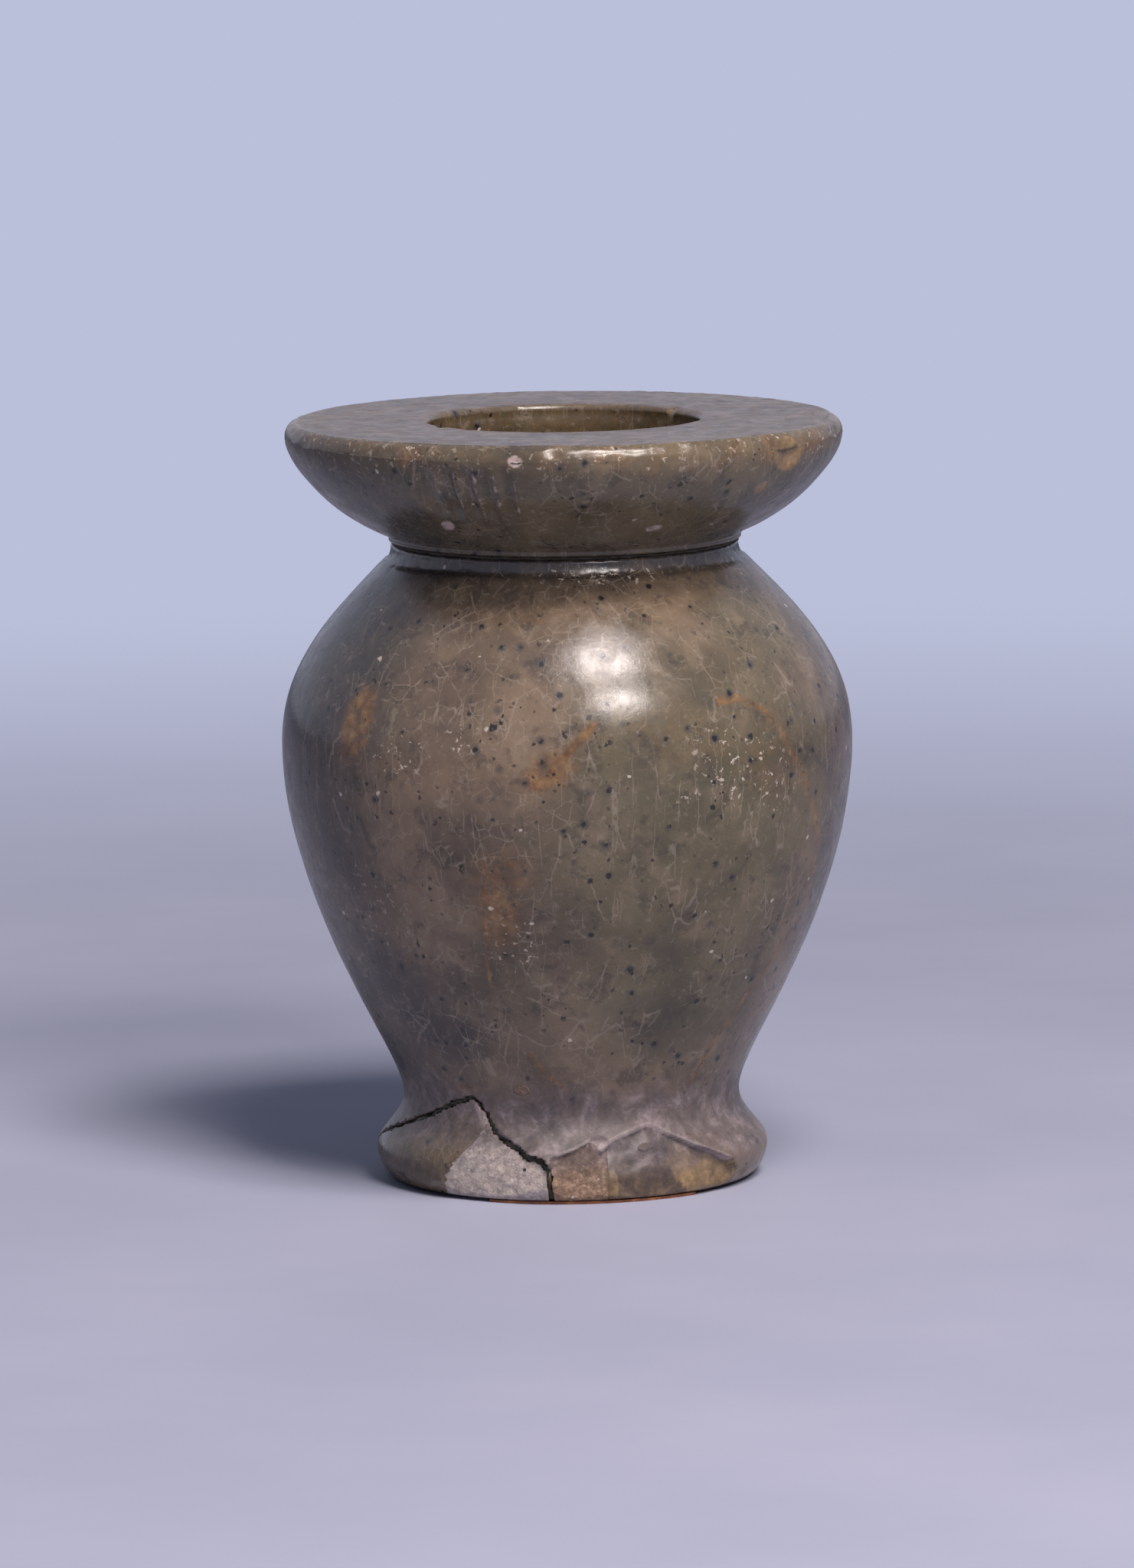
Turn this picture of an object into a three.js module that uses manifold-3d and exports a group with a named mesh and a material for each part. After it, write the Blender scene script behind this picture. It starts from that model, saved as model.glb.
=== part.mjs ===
// A small footed kohl vessel of polished mottled stone.
// The jar is one drilled stone with a socket in its neck. The wide rim is a second stone, whose spigot
// drops into that socket on a ring of mortar. A shard of the foot has broken off and is glued back,
// the foot's front edge is knocked away, dried kohl lies in the well, and a strip of label is stuck
// under the foot.
// Millimetres. +Z is up, the front is -Y, and the vessel's axis is the Z axis. The origin is the middle
// of the face that the vessel rests on. A bearing is an angle about the axis, from the front towards +X.

import * as THREE from "three";
import { mergeVertices, toCreasedNormals } from "three/addons/utils/BufferGeometryUtils.js";
import Module from "manifold-3d";

const wasm = await Module();
wasm.setup();

// Jar's outside. Each height runs from the station below it, the first from the stone's underside.
const FOOT_RADIUS = 11.85;
const UNDERSIDE_SETBACK = 0.95;
const UNDERSIDE_EDGE = 0.4;
const FOOT_HEIGHT = 1.75;
const WAIST_RADIUS = 10.2;
const WAIST_HEIGHT = 3.25;
const BELLY_RADIUS = 17.2;
const BELLY_HEIGHT = 21.3;
const SHOULDER_HEIGHT = 11.05;
const NECK_GROOVE_HEIGHT = 1.0;
const NECK_GROOVE_DEPTH = 0.5;

// Well drilled into the jar
const WELL_RADIUS = 7.6;
const FLOOR_THICKNESS = 12.0;
const WELL_CORNER_RADIUS = 3.5;

// Joint between the rim and the neck
const BORE_STEP = 0.6;
const SPIGOT_WALL = 1.1;
const SPIGOT_CLEARANCE = 0.15;
const NECK_WALL = 1.05;
const SPIGOT_LENGTH = 2.0;
const SPIGOT_END_CLEARANCE = 0.3;
const BEDDING_THICKNESS = 0.25;
const BEDDING_SETBACK = 0.15;

// Rim. The heights run up from its shoulder.
const COLLAR_RADIUS = 16.8;
const COLLAR_ROOT_OVERHANG = 0.1;
const COLLAR_ROOT_HEIGHT = 0.3;
const COLLAR_FLARE_HEIGHT = 5.9;
const COLLAR_LIP_HEIGHT = 1.0;
const COLLAR_EDGE_ROUND = 0.7;
const MOUTH_EDGE_ROUND = 0.45;

// How long each curve keeps the direction of its ends, as a share of its own rise or reach
const FOOT_CURVE = { underside: 0.45, below: 0.3, waist: 0.47 };
const BELLY_CURVE = { waist: 0.12, below: 0.47, above: 0.47 };
const SHOULDER_CURVE = { out: 0.25, down: 0.26 };
const COLLAR_CURVE = { out: 0.53, up: 0.2, below: 0.27 };
const KOHL_CURVE = 0.6;

// Break in the foot: the shard's outline on the surface, as [bearing in degrees, height]
const SHARD_BEARING = -50;
const CRACK = [
  [-5.7, 0],
  [-9, 2.05],
  [-18.4, 2.9],
  [-28.7, 4.2],
  [-34, 6.0],
];
const SHARD_TOP_EDGE = [
  [-42, 5.1],
  [-59, 4.05],
  [-90, 2.4],
  [-104, 0],
];
const SHARD_BACK_DISTANCE = 6.0;
const SHARD_BACK_SLOPE = 0.5;
const GLUE_LINE = 0.3;
const GLUE_SETBACK = 0.2;

// Losses along the foot's front edge
const FRONT_LOSS = { bearing: 25, halfAngle: 30, depth: 0.95, slope: 0.26 };
const SHARD_LOSS = { bearing: -23, halfAngle: 18, depth: 0.7, slope: 0.26 };

// Kohl left in the well
const KOHL_DEPTH = 1.8;
const KOHL_CLIMB = 1.0;
const KOHL_CLEARANCE = 0.3;

// Label strip under the foot
const LABEL_OVERHANG = 0.1;
const LABEL_THICKNESS = 0.2;
const LABEL_LEFT = 5.0;
const LABEL_RIGHT = 7.3;

// Facets
const ROUND_SIDES = 64;
const CURVE_STEPS = 9;
const CORNER_STEPS = 4;

// Heights above the stone's underside, and radii, that follow from the sizes above
const WAIST_UP = FOOT_HEIGHT + WAIST_HEIGHT;
const BELLY_UP = WAIST_UP + BELLY_HEIGHT;
const GROOVE_UP = BELLY_UP + SHOULDER_HEIGHT;
const NECK_UP = GROOVE_UP + NECK_GROOVE_HEIGHT;
const COLLAR_UP = NECK_UP + BEDDING_THICKNESS;
const SOCKET_FLOOR_UP = COLLAR_UP - SPIGOT_LENGTH - SPIGOT_END_CLEARANCE;
const UNDERSIDE_RADIUS = FOOT_RADIUS - UNDERSIDE_SETBACK;
const COLLAR_BORE_RADIUS = WELL_RADIUS + BORE_STEP;
const SPIGOT_RADIUS = COLLAR_BORE_RADIUS + SPIGOT_WALL;
const SOCKET_RADIUS = SPIGOT_RADIUS + SPIGOT_CLEARANCE;
const NECK_RADIUS = SOCKET_RADIUS + NECK_WALL;
const GROOVE_RADIUS = NECK_RADIUS + NECK_GROOVE_DEPTH;
const LABEL_RADIUS = UNDERSIDE_RADIUS + LABEL_OVERHANG;
const REACH = 2 * Math.max(BELLY_RADIUS, COLLAR_RADIUS);

const SAME_POINT = 1e-4;

const radians = THREE.MathUtils.degToRad;
const point = (radius, up) => new THREE.Vector2(radius, up);

const bezier = (...ends) => new THREE.CubicBezierCurve(...ends).getPoints(CURVE_STEPS);

// Points of a quarter of an ellipse about a centre, from one angle in degrees to another.
function corner(centre, radiusAcross, radiusUp, from, to) {
  const angles = [radians(from), radians(to), to < from];
  return new THREE.EllipseCurve(centre.x, centre.y, radiusAcross, radiusUp, ...angles).getPoints(CORNER_STEPS);
}

// Points and stretches of points as one profile, with no point twice.
function profileOf(...stretches) {
  return stretches.flat().filter((p, i, all) => i === 0 || p.distanceTo(all[i - 1]) > SAME_POINT);
}

// The solid made by turning a profile about the vessel's axis.
function turned(profile) {
  return new THREE.LatheGeometry(profile, ROUND_SIDES).rotateX(Math.PI / 2);
}

// A closed geometry as a solid that can be cut and joined.
function solid(geometry) {
  const bare = geometry.clone();
  bare.deleteAttribute("normal");
  bare.deleteAttribute("uv");
  const merged = mergeVertices(bare, SAME_POINT);
  const corners = merged.index.array;
  const triVerts = [];
  for (let i = 0; i < corners.length; i += 3) {
    const [a, b, c] = corners.slice(i, i + 3);
    if (a !== b && b !== c && c !== a) triVerts.push(a, b, c);
  }
  return new wasm.Manifold(
    new wasm.Mesh({
      numProp: 3,
      vertProperties: new Float32Array(merged.attributes.position.array),
      triVerts: new Uint32Array(triVerts),
    }),
  );
}

// A cut solid as a geometry, with its edges kept sharp.
function geometryOf(cut) {
  const { numProp, numVert, vertProperties, triVerts } = cut.getMesh();
  const positions = new Float32Array(numVert * 3);
  for (let i = 0; i < numVert; i++) {
    positions.set(vertProperties.subarray(i * numProp, i * numProp + 3), i * 3);
  }
  const geometry = new THREE.BufferGeometry();
  geometry.setAttribute("position", new THREE.BufferAttribute(positions, 3));
  geometry.setIndex(new THREE.BufferAttribute(new Uint32Array(triVerts), 1));
  return toCreasedNormals(geometry, radians(35));
}

// The jar's outside, from the middle of its underside up to the neck's land. With an inset, the surface
// lies that far inside the stone's.
function outsideProfile(inset) {
  const edge = point(UNDERSIDE_RADIUS - inset, inset);
  const foot = point(FOOT_RADIUS - inset, FOOT_HEIGHT);
  const waist = point(WAIST_RADIUS - inset, WAIST_UP);
  const belly = point(BELLY_RADIUS - inset, BELLY_UP);
  const groove = point(GROOVE_RADIUS - inset, GROOVE_UP);
  const neck = point(NECK_RADIUS - inset, NECK_UP);
  return profileOf(
    point(0, inset),
    bezier(
      edge,
      point(edge.x + UNDERSIDE_EDGE, inset),
      point(foot.x, foot.y - FOOT_HEIGHT * FOOT_CURVE.underside),
      foot,
    ),
    bezier(
      foot,
      point(foot.x, foot.y + WAIST_HEIGHT * FOOT_CURVE.below),
      point(waist.x, waist.y - WAIST_HEIGHT * FOOT_CURVE.waist),
      waist,
    ),
    bezier(
      waist,
      point(waist.x, waist.y + BELLY_HEIGHT * BELLY_CURVE.waist),
      point(belly.x, belly.y - BELLY_HEIGHT * BELLY_CURVE.below),
      belly,
    ),
    bezier(
      belly,
      point(belly.x, belly.y + SHOULDER_HEIGHT * BELLY_CURVE.above),
      point(groove.x + SHOULDER_HEIGHT * SHOULDER_CURVE.out, groove.y - SHOULDER_HEIGHT * SHOULDER_CURVE.down),
      groove,
    ),
    corner(point(groove.x, neck.y), -NECK_GROOVE_DEPTH, -NECK_GROOVE_HEIGHT, 90, 0),
  );
}

// The well and the socket, from the neck's land down to the middle of the floor.
function wellProfile() {
  const cornerCentre = point(WELL_RADIUS - WELL_CORNER_RADIUS, FLOOR_THICKNESS + WELL_CORNER_RADIUS);
  return profileOf(
    point(SOCKET_RADIUS, NECK_UP),
    point(SOCKET_RADIUS, SOCKET_FLOOR_UP),
    point(WELL_RADIUS, SOCKET_FLOOR_UP),
    corner(cornerCentre, WELL_CORNER_RADIUS, WELL_CORNER_RADIUS, 0, -90),
    point(0, FLOOR_THICKNESS),
  );
}

// The stone's radius at a height, read off the jar's outside.
function radiusAt(up) {
  const outline = outsideProfile(0);
  const next = outline.findIndex((p) => p.y > up);
  const [below, above] = [outline[next - 1], outline[next]];
  return below.x + ((above.x - below.x) * (up - below.y)) / (above.y - below.y);
}

// An outline moved inwards by a distance, corner by corner. The outline runs anticlockwise.
function movedIn(outline, distance) {
  return outline.map((here, i) => {
    const before = outline[(i + outline.length - 1) % outline.length];
    const after = outline[(i + 1) % outline.length];
    const [into, out] = [here.clone().sub(before).normalize(), after.clone().sub(here).normalize()];
    const [inward, onward] = [point(-into.y, into.x), point(-out.y, out.x)];
    const stretch = 1 + inward.dot(onward);
    return here.clone().addScaledVector(inward.add(onward), distance / stretch);
  });
}

// The block that the shard is cut from: its outline on the surface carried into the stone, with a back
// that comes nearer to the surface as it rises. It faces the shard's bearing.
function shardBlock(distanceIn) {
  const edge = [...CRACK, ...SHARD_TOP_EDGE].map(([bearing, up]) =>
    point(radiusAt(up) * Math.sin(radians(bearing - SHARD_BEARING)), up),
  );
  const below = -FOOT_HEIGHT;
  const outline = [point(edge[0].x, below), ...edge, point(edge[edge.length - 1].x, below)];
  const shape = new THREE.Shape(movedIn(outline, distanceIn));
  const back = SHARD_BACK_DISTANCE + distanceIn;
  const block = new THREE.ExtrudeGeometry(shape, { depth: REACH - back, bevelEnabled: false });
  block.rotateX(Math.PI / 2).translate(0, -back, 0);
  block.applyMatrix4(new THREE.Matrix4().makeShear(0, 0, 0, 0, 0, -SHARD_BACK_SLOPE));
  return solid(block.rotateZ(radians(SHARD_BEARING)));
}

// The space outside a wide cone that has its axis behind the vessel's. Taken away from the foot, it
// leaves a flat scar of the loss's depth, which tapers out to both sides and leans in as it rises.
function lossSpace({ bearing, halfAngle, depth, slope }, deeper) {
  const behind = depth / (1 - Math.cos(radians(halfAngle)));
  const radiusHere = (up) => FOOT_RADIUS - depth - deeper + behind - slope * (up - FOOT_HEIGHT);
  const [low, high] = [-FOOT_HEIGHT, WAIST_UP];
  const far = 2 * REACH + behind;
  const corners = [
    point(radiusHere(low), low),
    point(far, low),
    point(far, high),
    point(radiusHere(high), high),
    point(radiusHere(low), low),
  ];
  const ring = new THREE.LatheGeometry(corners, ROUND_SIDES).rotateX(Math.PI / 2);
  ring.translate(0, behind, 0);
  return solid(ring.rotateZ(radians(bearing)));
}

// A stone solid with the foot's losses taken away.
function worn(whole, deeper) {
  return [FRONT_LOSS, SHARD_LOSS].reduce(
    (left, loss) => left.subtract(lossSpace(loss, deeper)),
    whole,
  );
}

const STONE = { color: 0x6f685b, roughness: 0.35, metalness: 0 };

function piece(name, geometry, look) {
  const mesh = new THREE.Mesh(geometry, new THREE.MeshStandardMaterial(look));
  mesh.name = name;
  return mesh;
}

// Jar, shard and glue share one outside and the two blocks of the break.
function mendedJar() {
  const jar = worn(solid(turned([...outsideProfile(0), ...wellProfile()])), 0);
  const core = worn(solid(turned([...outsideProfile(GLUE_SETBACK), point(0, NECK_UP)])), GLUE_SETBACK);
  const opening = shardBlock(0);
  const shard = shardBlock(GLUE_LINE);
  return [
    piece("vessel_body", geometryOf(jar.subtract(opening)), STONE),
    piece("foot_shard", geometryOf(jar.intersect(shard)), { ...STONE, color: 0x8a7c72 }),
    piece("shard_glue", geometryOf(core.intersect(opening).subtract(shard)), {
      color: 0x4c4a33,
      roughness: 0.5,
      metalness: 0,
    }),
  ];
}

// The rim, from its shoulder out round the flare, over the flat top and down the bore to the spigot.
function rimCollar() {
  const root = point(NECK_RADIUS + COLLAR_ROOT_OVERHANG, COLLAR_ROOT_HEIGHT);
  const widest = point(COLLAR_RADIUS, COLLAR_ROOT_HEIGHT + COLLAR_FLARE_HEIGHT);
  const reach = widest.x - root.x;
  const top = widest.y + COLLAR_LIP_HEIGHT;
  const mouthCentre = point(COLLAR_BORE_RADIUS + MOUTH_EDGE_ROUND, top - MOUTH_EDGE_ROUND);
  const profile = profileOf(
    point(SPIGOT_RADIUS, -SPIGOT_LENGTH),
    point(SPIGOT_RADIUS, 0),
    point(root.x, 0),
    bezier(
      root,
      point(root.x + reach * COLLAR_CURVE.out, root.y + COLLAR_FLARE_HEIGHT * COLLAR_CURVE.up),
      point(widest.x, widest.y - COLLAR_FLARE_HEIGHT * COLLAR_CURVE.below),
      widest,
    ),
    corner(point(widest.x - COLLAR_EDGE_ROUND, widest.y), COLLAR_EDGE_ROUND, COLLAR_LIP_HEIGHT, 0, 90),
    corner(mouthCentre, MOUTH_EDGE_ROUND, MOUTH_EDGE_ROUND, 90, 180),
    point(COLLAR_BORE_RADIUS, -SPIGOT_LENGTH),
    point(SPIGOT_RADIUS, -SPIGOT_LENGTH),
  );
  const mesh = piece("rim_collar", turned(profile), { ...STONE, color: 0x776d58 });
  mesh.position.z = COLLAR_UP;
  return mesh;
}

// The mortar ring between the neck's land and the rim's shoulder.
function rimBedding() {
  const outer = NECK_RADIUS - BEDDING_SETBACK;
  const corners = [
    point(SOCKET_RADIUS, 0),
    point(outer, 0),
    point(outer, BEDDING_THICKNESS),
    point(SOCKET_RADIUS, BEDDING_THICKNESS),
    point(SOCKET_RADIUS, 0),
  ];
  const mesh = piece("rim_bedding", turned(corners), { color: 0x4a443a, roughness: 0.9, metalness: 0 });
  mesh.position.z = NECK_UP;
  return mesh;
}

// Dried kohl that lies on the well's floor and climbs a little at the wall.
function kohlResidue() {
  const outer = WELL_RADIUS - KOHL_CLEARANCE;
  const flat = WELL_RADIUS - WELL_CORNER_RADIUS;
  const round = WELL_CORNER_RADIUS - KOHL_CLEARANCE;
  const wallTop = point(outer, WELL_CORNER_RADIUS + KOHL_CLIMB);
  const dish = [wallTop, point(outer * KOHL_CURVE, KOHL_DEPTH), point(0, KOHL_DEPTH)];
  const profile = profileOf(
    point(0, 0),
    point(flat, 0),
    corner(point(flat, WELL_CORNER_RADIUS), round, round, -90, 0),
    new THREE.QuadraticBezierCurve(...dish).getPoints(CORNER_STEPS),
  );
  const mesh = piece("kohl_residue", turned(profile), { color: 0x1c1b1d, roughness: 0.95, metalness: 0 });
  mesh.position.z = FLOOR_THICKNESS;
  return mesh;
}

// The label: a strip from front to back under the foot, trimmed round at both ends.
function baseLabel() {
  const rightEnd = Math.asin(LABEL_RIGHT / LABEL_RADIUS);
  const leftEnd = Math.asin(LABEL_LEFT / LABEL_RADIUS);
  const outline = new THREE.Shape();
  outline.absarc(0, 0, LABEL_RADIUS, -Math.PI / 2 - leftEnd, -Math.PI / 2 + rightEnd, false);
  outline.absarc(0, 0, LABEL_RADIUS, Math.PI / 2 - rightEnd, Math.PI / 2 + leftEnd, false);
  outline.closePath();
  const strip = new THREE.ExtrudeGeometry(outline, { depth: LABEL_THICKNESS, bevelEnabled: false });
  return piece("base_label", strip, { color: 0x9a6a4c, roughness: 0.6, metalness: 0 });
}

const stonework = new THREE.Group();
stonework.position.z = LABEL_THICKNESS;
stonework.add(...mendedJar(), rimCollar(), rimBedding(), kohlResidue());

const kohlVessel = new THREE.Group();
kohlVessel.name = "kohl_vessel";
kohlVessel.add(stonework, baseLabel());

export default kohlVessel;
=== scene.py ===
import math

import bmesh
import bpy
from mathutils import Matrix, Vector, noise


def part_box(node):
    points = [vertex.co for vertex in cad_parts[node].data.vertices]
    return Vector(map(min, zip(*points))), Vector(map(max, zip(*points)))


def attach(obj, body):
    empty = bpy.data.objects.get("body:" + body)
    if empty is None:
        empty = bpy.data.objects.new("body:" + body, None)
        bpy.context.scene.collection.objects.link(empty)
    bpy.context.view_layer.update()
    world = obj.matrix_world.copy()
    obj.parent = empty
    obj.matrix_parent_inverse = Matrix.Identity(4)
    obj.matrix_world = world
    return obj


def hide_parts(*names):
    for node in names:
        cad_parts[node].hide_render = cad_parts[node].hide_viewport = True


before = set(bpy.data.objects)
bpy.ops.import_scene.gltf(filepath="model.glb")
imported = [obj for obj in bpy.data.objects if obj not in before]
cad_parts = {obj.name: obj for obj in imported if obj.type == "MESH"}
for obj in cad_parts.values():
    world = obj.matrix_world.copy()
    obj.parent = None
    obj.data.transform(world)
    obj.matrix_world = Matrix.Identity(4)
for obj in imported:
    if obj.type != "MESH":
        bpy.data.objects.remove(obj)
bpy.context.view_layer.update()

# The vessel is worked in millimetres and turned to metres when a piece is finished.
# A bearing is in degrees round the axis, from the front (-Y) towards +X. A height is above the table.
MM = 0.001

# Driving sizes of the stone jar, as the frame has them
BASE_HEIGHT = 0.2
FOOT_RADIUS = 11.85
UNDERSIDE_SETBACK = 0.95
UNDERSIDE_EDGE = 0.4
FOOT_HEIGHT = 1.75
WAIST_RADIUS = 10.2
WAIST_HEIGHT = 3.25
BELLY_RADIUS = 17.2
BELLY_HEIGHT = 21.3
SHOULDER_HEIGHT = 11.05
GROOVE_RADIUS = 11.0
GROOVE_HEIGHT = 1.0
GROOVE_DEPTH = 0.5
SOCKET_RADIUS = 9.45
SOCKET_FLOOR = 36.5
WELL_RADIUS = 7.6
WELL_FLOOR = 12.2
WELL_CORNER = 3.5

# Driving sizes of the rim
COLLAR_RADIUS = 16.8
COLLAR_WIDEST = 45.0
COLLAR_TOP = 46.0
COLLAR_FLAT_OUT = 16.1
COLLAR_ROOT_RADIUS = 10.6
COLLAR_ROOT = 39.1
COLLAR_SEAT = 38.8
SPIGOT_RADIUS = 9.3
SPIGOT_END = 36.8
BORE_RADIUS = 8.2
MOUTH_ROUND = 0.45

# How finely the stones are turned
JAR_SEGMENTS = 400
RIM_SEGMENTS = 420

# The break at the foot: the crack from the base to the waist, then the shard's top edge round to the left
CRACK = (
    (-5.9, 0.4), (-6.5, 2.1), (-9.0, 2.7), (-14.3, 3.0),
    (-18.5, 3.5), (-24.7, 4.0), (-28.1, 4.8), (-31.6, 5.8),
)
SHARD_TOP = ((-35.0, 6.3), (-42.0, 5.9), (-58.0, 4.7), (-86.0, 3.0), (-104.0, 0.4))
SHARD_BEARING = -50.0
SHARD_BACK = 6.0
SHARD_BACK_SLOPE = 0.5
CRACK_WIDTH = 0.36
GLUE_SETBACK = 0.30
JAG_SIZE = 0.09
JAG_STEP = 0.32
# The wedges that cut the stones apart reach from near the axis to well outside, and below the table
BLOCK_NEAR = 1.5
BLOCK_FAR = 34.0
BLOCK_FOOT = -2.0

# Fracture faces at the foot, each a rough plane: bearing, distance at the table, slope, roughness, grain
FRONT_FACES = (
    (2.0, 12.05, 0.38, 0.10, 2.6),
    (4.0, 11.25, 0.02, 0.10, 2.4),
    (18.0, 11.62, 0.33, 0.05, 1.1),
    (23.0, 11.10, 0.05, 0.05, 0.9),
    (34.0, 11.62, 0.33, 0.04, 0.9),
    (47.0, 11.38, 0.12, 0.04, 0.8),
)
SHARD_FACES = ((-20.0, 11.72, 0.36, 0.09, 2.8), (-27.0, 11.22, 0.05, 0.08, 2.6))
# How high each scar reaches, by bearing
FRONT_SCAR_TOP = (
    (-7.0, 2.9), (1.0, 3.35), (5.5, 3.75), (9.3, 3.15), (13.0, 3.8), (20.0, 4.15), (27.0, 4.5), (31.5, 4.05),
    (37.8, 3.4), (46.0, 2.7), (53.4, 2.05), (56.0, 1.4), (57.0, 0.0),
)
SHARD_SCAR_TOP = (
    (-43.0, 0.0), (-41.0, 1.4), (-39.4, 1.9), (-37.0, 2.6),
    (-34.0, 3.3), (-31.0, 4.3), (-28.0, 5.0), (0.0, 5.0),
)
SCAR_EDGE = 0.22
# How far round, in degrees, one fracture face is looked for
FACE_REACH = 62.0

# Shallow bites: bearing, height, half width, half height, tilt, depth
FOOT_BITES = (
    (8.8, 3.1, 0.8, 0.9, 35, 0.28),
    (22.0, 2.2, 1.6, 0.8, 10, 0.14),
    (29.0, 1.1, 1.5, 0.7, -15, 0.16),
    (38.5, 1.6, 1.1, 1.2, 20, 0.20),
    (46.0, 1.5, 1.0, 0.8, -35, 0.16),
    (-16.6, 6.8, 0.35, 0.25, 20, 0.12),
    (-36.5, 6.5, 0.5, 0.4, 0, 0.10),
    (62.0, 0.9, 0.5, 0.3, 0, 0.15),
    (-64.0, 0.8, 0.6, 0.3, 10, 0.12),
    (118.0, 1.2, 1.0, 0.5, 15, 0.22),
    (172.0, 2.0, 0.8, 0.6, -20, 0.18),
    (215.0, 1.0, 0.7, 0.4, 5, 0.16),
)
BELLY_BITES = (
    (-27.4, 34.6, 1.6, 0.09, 3, 0.05),
    (-10.3, 34.7, 1.4, 0.08, -4, 0.05),
    (-38.0, 36.3, 0.7, 0.10, 5, 0.06),
    (5.5, 12.05, 0.8, 0.12, -4, 0.07),
    (-19.3, 35.6, 0.45, 0.35, 10, 0.09),
    (-14.5, 19.0, 0.9, 1.8, 12, 0.05),
    (-6.3, 26.2, 1.0, 0.6, 50, 0.05),
    (42.0, 25.3, 0.45, 0.25, 15, 0.08),
    (35.0, 26.7, 0.4, 0.25, -10, 0.07),
    (-35.7, 27.6, 0.35, 0.25, 30, 0.07),
    (-21.2, 28.7, 0.35, 0.2, -30, 0.07),
    (60.0, 23.2, 0.5, 1.2, 8, 0.06),
    (112.0, 28.0, 1.1, 0.7, 25, 0.08),
    (158.0, 20.0, 0.8, 1.3, -15, 0.07),
    (201.0, 31.0, 1.2, 0.5, 8, 0.08),
    (243.0, 24.0, 0.7, 0.9, 30, 0.07),
)
RIM_BITES = (
    (52.5, 44.7, 1.25, 0.85, -25, 0.34),
    (47.9, 42.8, 0.35, 0.3, 0, 0.10),
    (-9.8, 45.1, 0.42, 0.42, 12, 0.16),
    (-30.3, 40.9, 0.5, 0.3, 8, 0.06),
    (-2.0, 45.6, 0.5, 0.3, 0, 0.12),
    (24.0, 45.7, 0.8, 0.25, 4, 0.12),
    (-38.0, 45.5, 0.6, 0.3, -8, 0.14),
    (-66.0, 45.4, 0.5, 0.35, 0, 0.12),
    (76.0, 45.5, 0.7, 0.3, 10, 0.16),
    (120.0, 45.5, 0.6, 0.5, 0, 0.22),
    (-131.0, 45.5, 0.7, 0.5, 0, 0.22),
    (165.0, 45.4, 0.9, 0.35, 0, 0.12),
    (-168.0, 45.2, 0.4, 0.3, 0, 0.12),
)
# Vertical tool flutes under the rim: bearing, half width, depth
FLUTES = ((-30.0, 0.7, 0.34), (-25.4, 0.6, 0.42), (-20.8, 0.5, 0.36), (-16.6, 0.45, 0.34), (-12.4, 0.5, 0.32))
FLUTE_FOOT = 40.6
FLUTE_TOP = 44.9
# The painted highlight on the ridge beside a flute, by its bearing from the flute's
RIDGE_STEP = 2.2

# Veins and stains on the jar, as paths of bearing and height, each with its half width
OCHRE_VEINS = (
    (((32.5, 30.5), (38.0, 30.6), (44.6, 29.6), (50.9, 26.9), (60.2, 23.1), (64.1, 21.5)), 0.30),
    (((64.1, 21.5), (66.0, 18.0), (64.5, 16.3), (56.9, 13.8), (47.0, 9.5), (41.6, 6.5)), 0.26),
    (((-12.4, 9.3), (-8.0, 7.8), (-2.9, 7.1), (0.7, 6.0)), 0.16),
    (((5.0, 29.5), (-1.7, 27.4), (-6.3, 25.8)), 0.45),
    (((-17.5, 20.6), (-18.6, 17.9), (-20.2, 13.4)), 0.16),
    (((150.0, 33.0), (163.0, 27.0), (171.0, 20.0), (166.0, 12.0)), 0.28),
    (((-120.0, 30.0), (-128.0, 24.0), (-122.0, 15.0)), 0.22),
)
# Stains as soft ovals: bearing, height, half width, half height, tilt, strength
OCHRE_PATCHES = (
    (-4.0, 26.8, 1.7, 1.1, 30, 0.75),
    (-14.5, 20.5, 1.9, 1.5, 15, 0.55),
    (-15.5, 18.3, 1.3, 2.4, 8, 0.65),
    (-47.5, 29.2, 1.2, 2.0, -10, 0.9),
    (46.0, 27.0, 2.2, 2.4, -30, 0.30),
    (60.0, 20.0, 1.3, 3.4, -5, 0.32),
    (23.0, 29.0, 3.0, 1.6, -20, 0.25),
    (-36.3, 6.6, 0.8, 0.5, 0, 0.7),
    (140.0, 24.0, 3.0, 2.0, 20, 0.4),
    (-150.0, 17.0, 2.4, 3.0, -15, 0.4),
)
# Darker ovals of the same kind, mostly painted shade: the side away from the windows, a band under the rim
# and the lower belly
DARK_PATCHES = (
    (-64.0, 30.0, 6.0, 9.0, 12, 0.75),
    (-72.0, 20.0, 5.5, 9.0, -10, 0.85),
    (-58.0, 14.0, 5.0, 3.0, -25, 0.80),
    (-42.0, 10.8, 3.6, 1.8, -20, 0.95),
    (-29.0, 12.4, 1.5, 2.6, 30, 0.55),
    (-70.0, 8.0, 4.0, 2.6, 0, 0.7),
    (-30.0, 36.8, 6.0, 0.9, 0, 0.55),
    (30.0, 37.2, 6.0, 0.7, 0, 0.35),
    (76.0, 24.0, 3.0, 9.0, 5, 0.55),
    (24.0, 11.0, 3.2, 1.6, -15, 0.35),
    (-8.0, 23.6, 2.2, 0.8, 10, 0.30),
    (104.0, 16.0, 4.0, 6.0, 0, 0.5),
    (-160.0, 27.0, 5.0, 4.0, 20, 0.55),
)
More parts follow.
